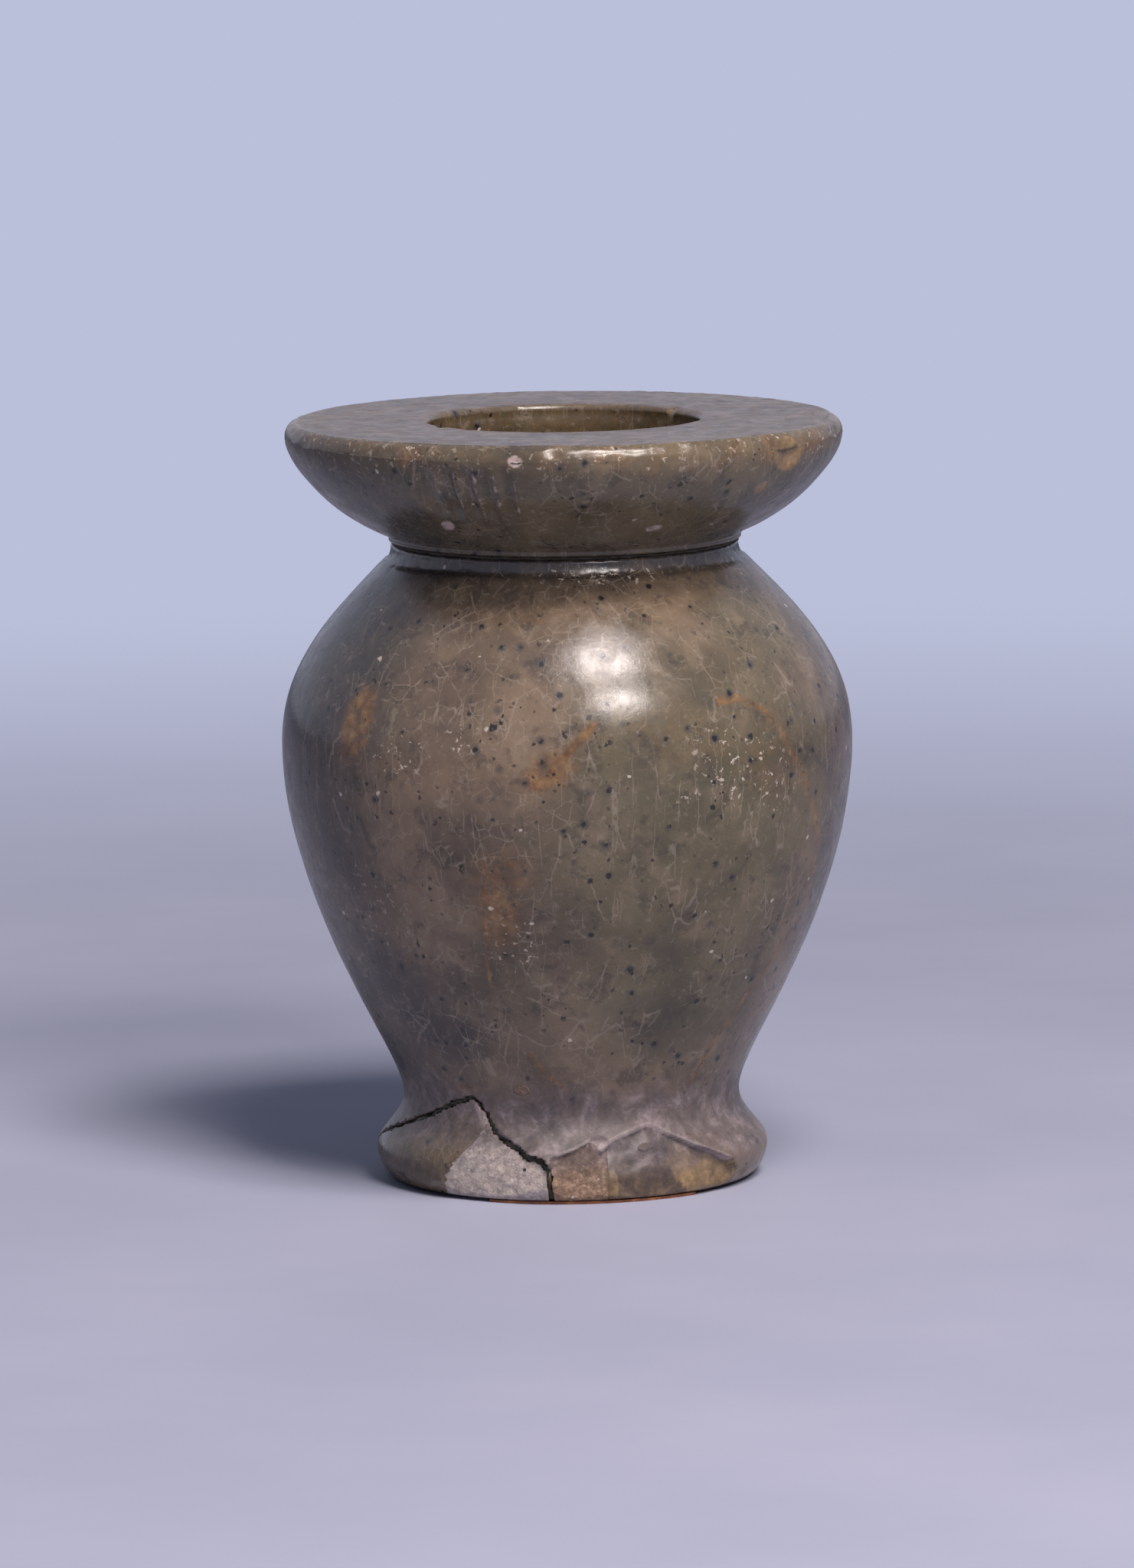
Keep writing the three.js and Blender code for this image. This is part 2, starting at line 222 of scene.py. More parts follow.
# Where the stone is olive, where its pale web is dense, and where it is flaked, as ovals too
OLIVE_PATCHES = (
    (30.0, 24.0, 9.0, 9.0, 0, 1.0),
    (30.0, 14.0, 6.0, 5.0, 0, 0.9),
    (-14.0, 14.0, 2.0, 3.0, 0, 0.4),
    (52.0, 34.0, 4.0, 2.5, 0, 0.8),
    (-58.0, 33.0, 4.0, 2.0, 0, 0.5),
    (170.0, 24.0, 8.0, 8.0, 0, 0.8),
)
WEB_PATCHES = (
    (-22.0, 26.0, 6.5, 8.0, 0, 0.9),
    (-12.0, 32.0, 7.0, 3.0, 0, 0.8),
    (-14.0, 17.0, 4.0, 4.5, 0, 0.6),
    (-40.0, 10.8, 4.0, 2.0, -20, 1.0),
    (40.0, 31.0, 4.0, 3.0, 0, 0.5),
    (150.0, 27.0, 8.0, 7.0, 0, 0.8),
    (-130.0, 22.0, 6.0, 7.0, 0, 0.6),
)
FLAKE_PATCHES = (
    (-35.7, 27.4, 1.8, 1.2, 20, 1.0),
    (-21.2, 28.6, 1.2, 0.8, 0, 0.8),
    (-12.2, 16.0, 1.6, 1.6, 0, 0.7),
    (38.0, 26.4, 3.4, 1.9, -25, 1.0),
    (24.6, 25.0, 0.7, 0.6, 0, 0.8),
    (12.5, 37.7, 3.4, 0.6, 0, 0.9),
    (-47.0, 18.0, 2.0, 2.4, 0, 0.5),
    (130.0, 25.0, 3.0, 2.0, 0, 0.8),
    (-100.0, 20.0, 2.0, 3.0, 0, 0.7),
)
# Where the colours of the foot's scars show besides on the scars themselves
PEACH_PATCHES = ((-16.6, 6.8, 0.45, 0.32, 0, 0.9), (24.0, 3.2, 0.5, 0.25, 10, 0.6))
BROWN_PATCHES = ((-62.0, 1.6, 3.4, 1.1, 5, 0.8),)
GOLD_PATCHES = ((44.5, 1.8, 2.2, 1.7, -20, 1.0), (11.8, 1.2, 0.45, 0.9, 5, 0.6))
# The bearings between which the peach face gives way to the brown ones
SCAR_TURN = (9.5, 12.0)
# The pale lines along the scars' upper edges
PALE_LIPS = (
    (((-5.0, 2.9), (1.0, 3.4), (5.5, 3.8), (8.0, 3.2)), 0.14),
    (((9.3, 3.4), (15.0, 3.9), (26.0, 4.5), (31.5, 4.0), (37.8, 3.4), (53.4, 2.0)), 0.24),
    (((-33.0, 5.6), (-30.5, 4.6), (-27.0, 4.1)), 0.22),
)
PINK_LIPS = ((((-33.5, 5.5), (-31.0, 4.9), (-29.5, 4.5)), 0.45),)

# Stains and chips of the rim that show in another colour, and painted shade under it
RIM_AMBER = ((52.5, 44.7, 1.3, 0.9, -25, 1.0), (47.9, 42.8, 0.4, 0.35, 0, 0.9))
RIM_BEIGE = (
    (-9.8, 45.1, 0.42, 0.42, 12, 0.62),
    (-30.3, 40.9, 0.5, 0.32, 8, 0.60),
    (23.0, 40.6, 0.6, 0.3, 0, 0.45),
)
# Painted shade on the rim's underside, at both sides and at the front left
RIM_SHADE = (
    (-62.0, 42.0, 6.0, 3.0, 0, 0.85),
    (62.0, 41.5, 4.0, 2.6, 0, 0.7),
    (-22.0, 42.0, 2.6, 2.2, 0, 0.3),
)

# How far each curve's handles reach, as a part of the height or width that the curve covers
FOOT_REACH = 0.45
WAIST_REACH = (0.30, 0.47)
BELLY_REACH = (0.12, 0.47)
SHOULDER_REACH = 0.47
NECK_REACH = (0.25, 0.26)
RIM_ROOT_REACH = (0.53, 0.20)
RIM_EDGE_REACH = 0.27

# How many points each stretch of an outline has
JAR_POINTS = {"underside": 9, "foot": 15, "waist": 25, "belly": 62, "shoulder": 46, "groove": 7}
WELL_POINTS = {"land": 4, "socket": 4, "ledge": 3, "wall": 14, "corner": 6, "floor": 3}
RIM_POINTS = {"spigot end": 3, "spigot": 5, "seat": 4, "root": 2, "flare": 58, "edge": 12, "top": 34}
BORE_POINTS = {"mouth": 6, "wall": 24}
BED_POINTS = {"flat": 5, "round": 3}
KOHL_POINTS = {"floor": 5, "corner": 8, "wall": 2, "dish": 26}

# Unevenness left by hand work, each as waves to a millimetre and depth in millimetres
WELL_RINGS = (5.0, 0.05)
WELL_WAVES = (0.5, 0.06)
UNDERSIDE_WAVES = (0.9, 0.05)
JAR_SAG = (0.09, -0.10)
JAR_RIPPLE = (0.45, -0.02)
JAR_GRIT = (2.2, 0.012)
SCAR_SWELL = (0.8, 0.16)
SCAR_OUTLINE = (1.7, 0.07)
MATT_EDGE = (0.35, 0.9)
BORE_RINGS = (6.0, 0.04)
BORE_WAVES = (0.35, 0.10)
MOUTH_CHIPS = (0.9, 0.35)
RIM_SAG = (0.12, 0.10)
RIM_RIPPLE = (0.6, 0.03)
EDGE_KNOCKS = (1.1, 0.05)
EDGE_GRIT = (3.1, 0.03)
TOP_WAVES = (0.25, 0.03)
GLUE_LUMPS = (1.7, 0.26)
MORTAR_LUMPS = (1.2, 0.14)
MORTAR_GRAINS = (4.0, 0.05)
LABEL_EDGE = (0.8, 0.05)
KOHL_LUMPS = (0.7, 0.22)
KOHL_GRAINS = (2.5, 0.08)
KOHL_CRACKS = (0.42, 0.35)

# How much hand work took off everywhere, and where the foot's losses end and the neck's tool marks start
JAR_WORN = 0.04
RIM_WORN = 0.06
TOP_GROUND = 0.03
FOOT_ZONE = 9.0
NECK_ZONE = 37.0
# Tool marks on the neck: waves to a millimetre across and along the axis, and depth
NECK_TOOL = (1.3, 4.0, 0.09)
# Which way wear moves the rim's skin, in and up, below and above its widest line
WORN_BELOW = (0.85, 0.35)
WORN_ABOVE = (0.6, -0.7)

# The glue in the break: its play beside the stones, and how far it sinks behind the scars
GLUE_SEGMENTS = 300
GLUE_PLAY = 0.02
GLUE_SINK = 0.12

# The mortar ring under the rim; it is lumpy from BED_SHOWN outwards
BED_INNER = 9.5
BED_OUTER = 10.3
BED_BULGE = 0.12
BED_SHOWN = 10.0
BED_LOW = 38.56
BED_HIGH = 38.79
BED_SEGMENTS = 300

# The paper strip under the foot
LABEL_RADIUS = 11.0
LABEL_SEGMENTS = 160
LABEL_THICKNESS = 0.16

# What is left of the kohl in the well
KOHL_RADIUS = 7.25
KOHL_FLOOR = 12.5
KOHL_MIDDLE = 14.0
KOHL_EDGE = 16.7
KOHL_CORNER = 3.2
# How far the handles of its round corner and of its dished top stand in from the wall and down from the edge
KOHL_CORNER_REACH = (1.4, 1.5)
KOHL_DISH_REACH = (1.2, 1.6, 3.6)
KOHL_SETTLED = 0.05
KOHL_CRACK_WIDTH = 0.12
KOHL_SEGMENTS = 150

# Colours of the stone, as stops of noise level and sRGB hex colour
JAR_STOPS = [(0.30, "453B32"), (0.42, "5E5042"), (0.52, "6E5E4D"), (0.62, "7F6C58"), (0.75, "8F7D68")]
RIM_STOPS = [(0.28, "423C30"), (0.42, "564D3C"), (0.55, "655A46"), (0.68, "756850"), (0.8, "857558")]
SHARD_STOPS = [(0.28, "453A2C"), (0.42, "5E4E38"), (0.55, "6C5A42"), (0.68, "7C684E"), (0.8, "8A775C")]
OLIVE_STOPS = [(0.3, "4A4638"), (0.5, "5C573F"), (0.7, "6F6850")]
RUST_STOPS = [(0.35, "5A4028"), (0.5, "7A5A38"), (0.68, "94744C")]
DUST_STOPS = [(0.32, "3C3839"), (0.5, "665D5F"), (0.66, "9C8F92")]
# Broken and worn faces: the mask that shows each, the width of its blotches in millimetres, and its colours
WORN_FACES = (
    ("scar", 0.35, [(0.30, "867C78"), (0.5, "B2A6A0"), (0.70, "DAD0C8")]),
    ("peach", 0.35, [(0.30, "5E4E46"), (0.5, "93775F"), (0.70, "C8AC92")]),
    ("brown", 0.8, [(0.30, "362C24"), (0.5, "544638"), (0.70, "7C6852")]),
    ("gold", 0.8, [(0.30, "584632"), (0.5, "836C4C"), (0.70, "A88F68")]),
    # The lip colours also paint the highlights on the rim's flute ridges
    ("lip", 0.8, [(0.30, "A08E86"), (0.5, "BBA9A2"), (0.72, "D2C2BA")]),
)
GRANULAR_FACES = ("scar", "peach")
# Three families of hairlines: their turn in radians, their spacing in millimetres and their stretch
HAIRLINES = (
    ((0.3, 0.5, 0.2), 1.3, 0.10),
    ((1.1, -0.4, 0.6), 1.6, 0.08),
    ((0.2, 1.35, -0.3), 1.9, 0.07),
)
# The slope of a Map Range node that starts and ends softly
SOFTLY = {"interpolation_type": "SMOOTHSTEP"}

# The floor in metres, and how far out it starts and ends to show its own even colour
FLOOR_RADIUS = 4.0
FLOOR_SEGMENTS = 96
SWEEP_FADE = (0.075, 0.30)

# The pale room: how strongly it lights the vessel, and how bright it looks
ROOM_LIGHT = 0.13
ROOM_SHOWN = 0.90
# The windows: bearing, angle above the floor, distance, width and height in metres, power in watts
WINDOWS = (
    ("window", 26.0, 61.0, 0.60, 0.20, 0.15, 2.6),
    ("low_window", 25.0, 39.0, 0.66, 0.20, 0.14, 2.1),
)
WINDOW_COLOUR = (1.0, 0.90, 0.87)
LIT_HEIGHT = 24.0

# The photograph's view: slope and roll in degrees, distance and centre in millimetres
VIEW_SLOPE = 7.90
VIEW_ROLL = -0.74
VIEW_DISTANCE = 620.0
VIEW_CENTRE = (-0.06, 0.0, 23.77)
SENSOR_WIDTH = 36.0
LENS = 235.92

TURN = 360.0


def smooth(low, high, x):
    """0 up to low, 1 from high on and a soft slope between them, which falls where low is the greater."""
    t = min(1.0, max(0.0, (x - low) / (high - low)))
    return t * t * (3.0 - 2.0 * t)


def bezier(start, lead, trail, end, steps):
    """Points of one cubic curve of radius and height, without its first point."""
    out = []
    for i in range(1, steps + 1):
        t = i / steps
        s = 1.0 - t
        weights = (s * s * s, 3 * s * s * t, 3 * s * t * t, t * t * t)
        out.append(tuple(sum(w * p[k] for w, p in zip(weights, (start, lead, trail, end))) for k in (0, 1)))
    return out


def quarter(start, end, steps, flat_first):
    """Points of a quarter ellipse, without its first point; flat_first leaves its start along the radius."""
    out = []
    for i in range(1, steps + 1):
        a = math.pi / 2 * i / steps
        along = math.sin(a) if flat_first else 1.0 - math.cos(a)
        up = 1.0 - math.cos(a) if flat_first else math.sin(a)
        out.append((start[0] + (end[0] - start[0]) * along, start[1] + (end[1] - start[1]) * up))
    return out


def straight(start, end, steps):
    """Points of a straight line, without its first point."""
    return [
        tuple(a + (b - a) * i / steps for a, b in zip(start, end))
        for i in range(1, steps + 1)
    ]


def jar_outside(setback=0.0):
    """The jar's outline from the middle of its underside to its neck, drawn in by the setback."""
    base = BASE_HEIGHT
    edge = (FOOT_RADIUS - UNDERSIDE_SETBACK, base)
    foot = (FOOT_RADIUS, base + FOOT_HEIGHT)
    waist = (WAIST_RADIUS, foot[1] + WAIST_HEIGHT)
    belly = (BELLY_RADIUS, waist[1] + BELLY_HEIGHT)
    groove = (GROOVE_RADIUS, belly[1] + SHOULDER_HEIGHT)
    neck = (groove[0] - GROOVE_DEPTH, groove[1] + GROOVE_HEIGHT)
    points = [(0.0, base)]
    points += straight(points[-1], edge, JAR_POINTS["underside"])
    points += bezier(
        edge,
        (edge[0] + UNDERSIDE_EDGE, base),
        (foot[0], foot[1] - FOOT_REACH * FOOT_HEIGHT),
        foot,
        JAR_POINTS["foot"],
    )
    points += bezier(
        foot,
        (foot[0], foot[1] + WAIST_REACH[0] * WAIST_HEIGHT),
        (waist[0], waist[1] - WAIST_REACH[1] * WAIST_HEIGHT),
        waist,
        JAR_POINTS["waist"],
    )
    points += bezier(
        waist,
        (waist[0], waist[1] + BELLY_REACH[0] * BELLY_HEIGHT),
        (belly[0], belly[1] - BELLY_REACH[1] * BELLY_HEIGHT),
        belly,
        JAR_POINTS["belly"],
    )
    points += bezier(
        belly,
        (belly[0], belly[1] + SHOULDER_REACH * SHOULDER_HEIGHT),
        (groove[0] + NECK_REACH[0] * SHOULDER_HEIGHT, groove[1] - NECK_REACH[1] * SHOULDER_HEIGHT),
        groove,
        JAR_POINTS["shoulder"],
    )
    points += quarter(groove, neck, JAR_POINTS["groove"], True)
    return [(max(0.0, r - setback), z) for r, z in points]


def jar_outline():
    """The whole jar's outline: outside, socket in the neck, and the drilled well."""
    points = jar_outside()
    points += straight(points[-1], (SOCKET_RADIUS, points[-1][1]), WELL_POINTS["land"])
    points += straight(points[-1], (SOCKET_RADIUS, SOCKET_FLOOR), WELL_POINTS["socket"])
    points += straight(points[-1], (WELL_RADIUS, SOCKET_FLOOR), WELL_POINTS["ledge"])
    points += straight(points[-1], (WELL_RADIUS, WELL_FLOOR + WELL_CORNER), WELL_POINTS["wall"])
    points += quarter(points[-1], (WELL_RADIUS - WELL_CORNER, WELL_FLOOR), WELL_POINTS["corner"], False)
    points += straight(points[-1], (0.0, WELL_FLOOR), WELL_POINTS["floor"])
    return points


def rim_outline():
    """The rim's closed outline: bore, spigot, shoulder, flaring underside, rounded edge and flat top."""
    widest = (COLLAR_RADIUS, COLLAR_WIDEST)
    root = (COLLAR_ROOT_RADIUS, COLLAR_ROOT)
    flare = (widest[0] - root[0], widest[1] - root[1])
    points = [(BORE_RADIUS, SPIGOT_END)]
    points += straight(points[-1], (SPIGOT_RADIUS, SPIGOT_END), RIM_POINTS["spigot end"])
    points += straight(points[-1], (SPIGOT_RADIUS, COLLAR_SEAT), RIM_POINTS["spigot"])
    points += straight(points[-1], (COLLAR_ROOT_RADIUS, COLLAR_SEAT), RIM_POINTS["seat"])
    points += straight(points[-1], root, RIM_POINTS["root"])
    points += bezier(
        root,
        (root[0] + RIM_ROOT_REACH[0] * flare[0], root[1] + RIM_ROOT_REACH[1] * flare[1]),
        (widest[0], widest[1] - RIM_EDGE_REACH * flare[1]),
        widest,
        RIM_POINTS["flare"],
    )
    points += quarter(widest, (COLLAR_FLAT_OUT, COLLAR_TOP), RIM_POINTS["edge"], False)
    points += straight(points[-1], (BORE_RADIUS + MOUTH_ROUND, COLLAR_TOP), RIM_POINTS["top"])
    points += quarter(points[-1], (BORE_RADIUS, COLLAR_TOP - MOUTH_ROUND), BORE_POINTS["mouth"], True)
    points += straight(points[-1], points[0], BORE_POINTS["wall"])[:-1]
    return points


def turned(outline, segments, closed=False):
    """Spins an outline of radius and height round the axis into one closed mesh."""
    bm = bmesh.new()
    verts = [bm.verts.new((r, 0.0, z)) for r, z in outline]
    edges = [bm.edges.new(pair) for pair in zip(verts, verts[1:])]
    if closed:
        edges.append(bm.edges.new((verts[-1], verts[0])))
    bmesh.ops.spin(
        bm,
        geom=verts + edges,
        cent=(0, 0, 0),
        axis=(0, 0, 1),
        angle=2 * math.pi,
        steps=segments,
        use_merge=True,
    )
    bmesh.ops.remove_doubles(bm, verts=bm.verts, dist=1e-4)
    bmesh.ops.recalc_face_normals(bm, faces=bm.faces)
    return bm


def bearing_of(co):
    return math.degrees(math.atan2(co.x, -co.y))


def around(a, b):
    """The signed angle in degrees from bearing b to bearing a."""
    return (a - b + 180.0) % TURN - 180.0


def at(bearing, radius, height):
    a = math.radians(bearing)
    return Vector((radius * math.sin(a), -radius * math.cos(a), height))


def in_oval(patch, bearing, radius, height):
    """How deep a place is inside an oval patch: below 1 inside it, as the square of the distance."""
    across = math.radians(around(bearing, patch[0])) * radius
    up = height - patch[1]
    tilt = math.radians(patch[4])
    u = (across * math.cos(tilt) + up * math.sin(tilt)) / patch[2]
    v = (-across * math.sin(tilt) + up * math.cos(tilt)) / patch[3]
    return u * u + v * v


def bitten(bites, bearing, radius, height):
    """The depth that shallow bites take out of the surface here."""
    depth = 0.0
    for bite in bites:
        q = in_oval(bite, bearing, radius, height)
        if q < 1.0:
            depth = max(depth, bite[5] * (1.0 - q) ** 0.6)
    return depth


def patchy(patches, bearing, radius, height):
    """The strongest of some soft oval patches here, from 0 to 1."""
    most = 0.0
    for patch in patches:
        q = in_oval(patch, bearing, radius, height)
        if q < 2.4:
            most = max(most, patch[5] * (1.0 - smooth(0.25, 2.2, q)))
    return most


def veined(veins, bearing, radius, height):
    """1 on the line of a vein, falling to 0 at its edge."""
    most = 0.0
    for path, half_width in veins:
        for (b0, h0), (b1, h1) in zip(path, path[1:]):
            if not min(h0, h1) - 1.0 < height < max(h0, h1) + 1.0:
                continue
            along = Vector((math.radians(around(b1, b0)) * radius, h1 - h0))
            here = Vector((math.radians(around(bearing, b0)) * radius, height - h0))
            t = min(1.0, max(0.0, here.dot(along) / along.length_squared))
            gap = (here - along * t).length
            most = max(most, 1.0 - smooth(0.25 * half_width, half_width, gap))
    return most


def uneven(waves, co):
    """The unevenness here, from its waves to a millimetre and its depth."""
    return waves[1] * noise.noise(co * waves[0])


def push_out(v, radius, amount):
    """Moves a corner of the mesh away from the axis, or towards it by a negative amount."""
    v.co.x *= 1.0 + amount / radius
    v.co.y *= 1.0 + amount / radius


def fracture(faces, bearing, height, co):
    """The distance from the axis of the rough fracture faces here."""
    nearest = math.inf
    for face_bearing, distance, slope, rough, grain in faces:
        turn = around(bearing, face_bearing)
        if abs(turn) > FACE_REACH:
            continue
        swell = noise.noise(co * SCAR_SWELL[0] + Vector((7, 3, 1))) * SCAR_SWELL[1]
        grit = noise.noise(co * grain) * rough + swell
        grit += rough * 0.5 * noise.noise(co * grain * 2.7)
        nearest = min(nearest, (distance - slope * height + grit) / math.cos(math.radians(turn)))
    return nearest


def scar_top(outline, bearing):
    """The height that a scar reaches at this bearing, or nothing outside it."""
    turn = around(bearing, 0.0)
    for (b0, h0), (b1, h1) in zip(outline, outline[1:]):
        if b0 <= turn <= b1:
            return h0 + (h1 - h0) * (turn - b0) / (b1 - b0)
    return 0.0


def crack_bearing(height):
    """The bearing at which the crack crosses this height."""
    for (b0, h0), (b1, h1) in zip(CRACK, CRACK[1:]):
        if height <= h1:
            return b0 + (b1 - b0) * max(0.0, height - h0) / (h1 - h0)
    return CRACK[-1][0]


def broken(bearing, radius, height, co, margin=0.0):
    """How far the rough scars of the foot lie below the turned surface here."""
    on_shard = around(bearing, crack_bearing(height)) < 0.0
    outline = SHARD_SCAR_TOP if on_shard else FRONT_SCAR_TOP
    top = scar_top(outline, bearing) + uneven(SCAR_OUTLINE, co)
    inside = 1.0 - smooth(top - SCAR_EDGE, top, height)
    if inside <= 0.0:
        return 0.0
    target = fracture(SHARD_FACES if on_shard else FRONT_FACES, bearing, height, co)
    return max(0.0, radius - target + margin) * inside


def wear_jar(bm):
    """Gives the turned jar its hand-made unevenness, worn edges, chips and the broken foot."""
    for v in bm.verts:
        co = v.co.copy()
        radius = math.hypot(co.x, co.y)
        if radius < WELL_RADIUS + 0.3 and co.z > BASE_HEIGHT + 1.0:
            if radius > 1.0:
                ring = WELL_RINGS[1] * math.sin(co.z * WELL_RINGS[0]) + uneven(WELL_WAVES, co)
                push_out(v, radius, ring)
            continue
        if radius < FOOT_RADIUS - UNDERSIDE_SETBACK - 0.5 and co.z < BASE_HEIGHT + 0.2:
            v.co.z += abs(uneven(UNDERSIDE_WAVES, co))
            continue
        if radius < SOCKET_RADIUS + 0.2:
            continue
        bearing = bearing_of(co)
        depth = JAR_WORN + uneven(JAR_SAG, co) + uneven(JAR_RIPPLE, co) + uneven(JAR_GRIT, co)
        depth = max(0.0, depth)
        if co.z < FOOT_ZONE:
            depth += bitten(FOOT_BITES, bearing, radius, co.z)
            depth = max(depth, broken(bearing, radius, co.z, co) + 0.4 * depth)
        else:
            depth += bitten(BELLY_BITES, bearing, radius, co.z)
        if co.z > NECK_ZONE:
            across, along, tool_depth = NECK_TOOL
            tool = tool_depth * abs(noise.noise(Vector((co.x * across, co.y * across, co.z * along))))
            depth += tool * smooth(NECK_ZONE, NECK_ZONE + 0.8, co.z)
        push_out(v, radius, -depth)
    return bm


def fluted(bearing, radius, height):
    """The depth of the tool flutes under the rim here."""
    rise = smooth(FLUTE_FOOT, FLUTE_FOOT + 1.5, height) * (1.0 - smooth(FLUTE_TOP - 1.0, FLUTE_TOP, height))
    depth = 0.0
    for flute_bearing, half_width, flute_depth in FLUTES:
        across = math.radians(around(bearing, flute_bearing)) * radius / half_width
        if abs(across) < 1.0:
            depth += rise * flute_depth * (1.0 - across * across)
    return depth


def wear_rim(bm):
    """Gives the turned rim its uneven edge, chips, tool flutes and ground top."""
    for v in bm.verts:
        co = v.co.copy()
        radius = math.hypot(co.x, co.y)
        if co.z < COLLAR_ROOT + 0.1 and radius > BORE_RADIUS + 0.2:
            continue
        if radius < BORE_RADIUS + MOUTH_ROUND + 0.05:
            ring = BORE_RINGS[1] * math.sin(co.z * BORE_RINGS[0]) + uneven(BORE_WAVES, co)
            if co.z > COLLAR_TOP - 0.7:
                chip = noise.noise(co * MOUTH_CHIPS[0] + Vector((3, 8, 2)))
                ring += MOUTH_CHIPS[1] * max(0.0, chip - 0.28)
                v.co.z -= 0.3 * max(0.0, chip - 0.30)
            push_out(v, radius, ring)
            continue
        if co.z > COLLAR_TOP - 0.01 and radius < COLLAR_FLAT_OUT + 0.02:
            v.co.z -= TOP_GROUND + uneven(TOP_WAVES, co)
            continue
        bearing = bearing_of(co)
        depth = RIM_WORN + uneven(RIM_SAG, co) + uneven(RIM_RIPPLE, co)
        worn = smooth(COLLAR_WIDEST - 1.2, COLLAR_WIDEST, co.z)
        depth += worn * (abs(uneven(EDGE_KNOCKS, co)) + uneven(EDGE_GRIT, co))
        depth += bitten(RIM_BITES, bearing, radius, co.z) + fluted(bearing, radius, co.z)
        depth = max(0.0, depth)
        inward = WORN_BELOW[0] if co.z < COLLAR_WIDEST else WORN_ABOVE[0]
        upward = WORN_ABOVE[1] if co.z > COLLAR_WIDEST else WORN_BELOW[1]
        push_out(v, radius, -depth * inward)
        v.co.z += depth * upward
    return bm


def object_of(name, bm):
    mesh = bpy.data.meshes.new(name)
    bm.to_mesh(mesh)
    bm.free()
    made = bpy.data.objects.new(name, mesh)
    bpy.context.collection.objects.link(made)
    return made


def jagged(corners, inset):
    """A line through the corners, moved aside by the inset, with small steps that wander as a crack does."""
    drawn = []
    for i, corner in enumerate(corners):
        before = Vector(corners[max(0, i - 1)])
        after = Vector(corners[min(len(corners) - 1, i + 1)])
        run = (after - before).normalized()
        drawn.append(Vector(corner) + Vector((-run.y, run.x)) * inset)
    line = []
    for start, end in zip(drawn, drawn[1:]):
        steps = max(1, round((end - start).length / JAG_STEP))
        run = (end - start).normalized()
        for k in range(steps):
            place = start.lerp(end, k / steps)
            if place.y > 0.0:
                seed = Vector((len(line) * 0.71, 2.0, 5.0))
                place = place + Vector((-run.y, run.x)) * JAG_SIZE * 2.0 * noise.noise(seed)
            line.append(place)
    return line + [drawn[-1]]


def shard_block(name, inset):
    """A wedge that holds the shard: its jagged outline run out from the axis, cut off by the break behind."""
    reach = math.radians(1.0) * FOOT_RADIUS
    corners = [(bearing * reach, height) for bearing, height in CRACK + SHARD_TOP]
    corners = [(corners[0][0], BLOCK_FOOT)] + corners + [(corners[-1][0], BLOCK_FOOT)]
    bm = bmesh.new()
    outer = [bm.verts.new(at(p.x / reach, BLOCK_FAR, p.y)) for p in jagged(corners, inset)]
    bm.faces.new(outer)
    drawn_in = bmesh.ops.extrude_face_region(bm, geom=list(bm.faces))
    inner = [g for g in drawn_in["geom"] if isinstance(g, bmesh.types.BMVert)]
    narrow = BLOCK_NEAR / BLOCK_FAR
    bmesh.ops.scale(bm, vec=(narrow, narrow, 1.0), verts=inner)
    bmesh.ops.triangulate(bm, faces=bm.faces)
    outward = at(SHARD_BEARING, 1.0, 0.0)
    cut = bmesh.ops.bisect_plane(
        bm,
        geom=list(bm.verts) + list(bm.edges) + list(bm.faces),
        plane_co=outward * (SHARD_BACK + inset),
        plane_no=(outward - Vector((0, 0, SHARD_BACK_SLOPE))).normalized(),
        clear_inner=True,
    )
    bmesh.ops.holes_fill(bm, edges=[g for g in cut["geom_cut"] if isinstance(g, bmesh.types.BMEdge)])
    bmesh.ops.triangulate(bm, faces=bm.faces)
    bmesh.ops.recalc_face_normals(bm, faces=bm.faces)
    if bm.calc_volume(signed=True) < 0.0:
        bmesh.ops.reverse_faces(bm, faces=bm.faces)
    return object_of(name, bm)


def cut_with(piece, tool, operation):
    """Cuts or trims a piece with another closed piece, and makes the result its own mesh."""
    step = piece.modifiers.new(operation.lower(), "BOOLEAN")
    step.operation = operation
    step.object = tool
    step.solver = "MANIFOLD"
    graph = bpy.context.evaluated_depsgraph_get()
    made = bpy.data.meshes.new_from_object(piece.evaluated_get(graph))
    piece.modifiers.clear()
    piece.data = made
    bpy.data.objects.remove(tool)


def paint(piece, name, rule):
    """Keeps a number from 0 to 1 at every corner of the mesh, which a material can read by its name."""
    layer = piece.data.attributes.new(name, "FLOAT", "POINT")
    values = []
    for v in piece.data.vertices:
        values.append(rule(bearing_of(v.co), math.hypot(v.co.x, v.co.y), v.co.z))
    layer.data.foreach_set("value", values)


def finish(piece, cad_node, look, flat=False):
    """Turns a piece to metres, gives it its finish and sets it in the frame."""
    piece.data.transform(Matrix.Scale(MM, 4))
    piece.data.materials.clear()
    piece.data.materials.append(look)
    piece.data.polygons.foreach_set("use_smooth", [not flat] * len(piece.data.polygons))
    piece.data.update()
    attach(piece, "root")
    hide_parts(cad_node)


def linear(hex_colour):
    """Turns an sRGB hex colour to the linear colour that a shader takes."""
    channels = [int(hex_colour[i:i + 2], 16) / 255 for i in (0, 2, 4)]
    bent = [c / 12.92 if c <= 0.04045 else ((c + 0.055) / 1.055) ** 2.4 for c in channels]
    return (*bent, 1.0)


def per_metre(size_mm):
    """The scale of a pattern whose cells or blotches have this size."""
    return 1.0 / (size_mm * MM)


def sized(place, size_mm, detail=4.0, rough=0.55):
    """What soft noise needs for blotches of about this size."""
    return {"Vector": place, "Scale": per_metre(size_mm), "Detail": detail, "Roughness": rough}


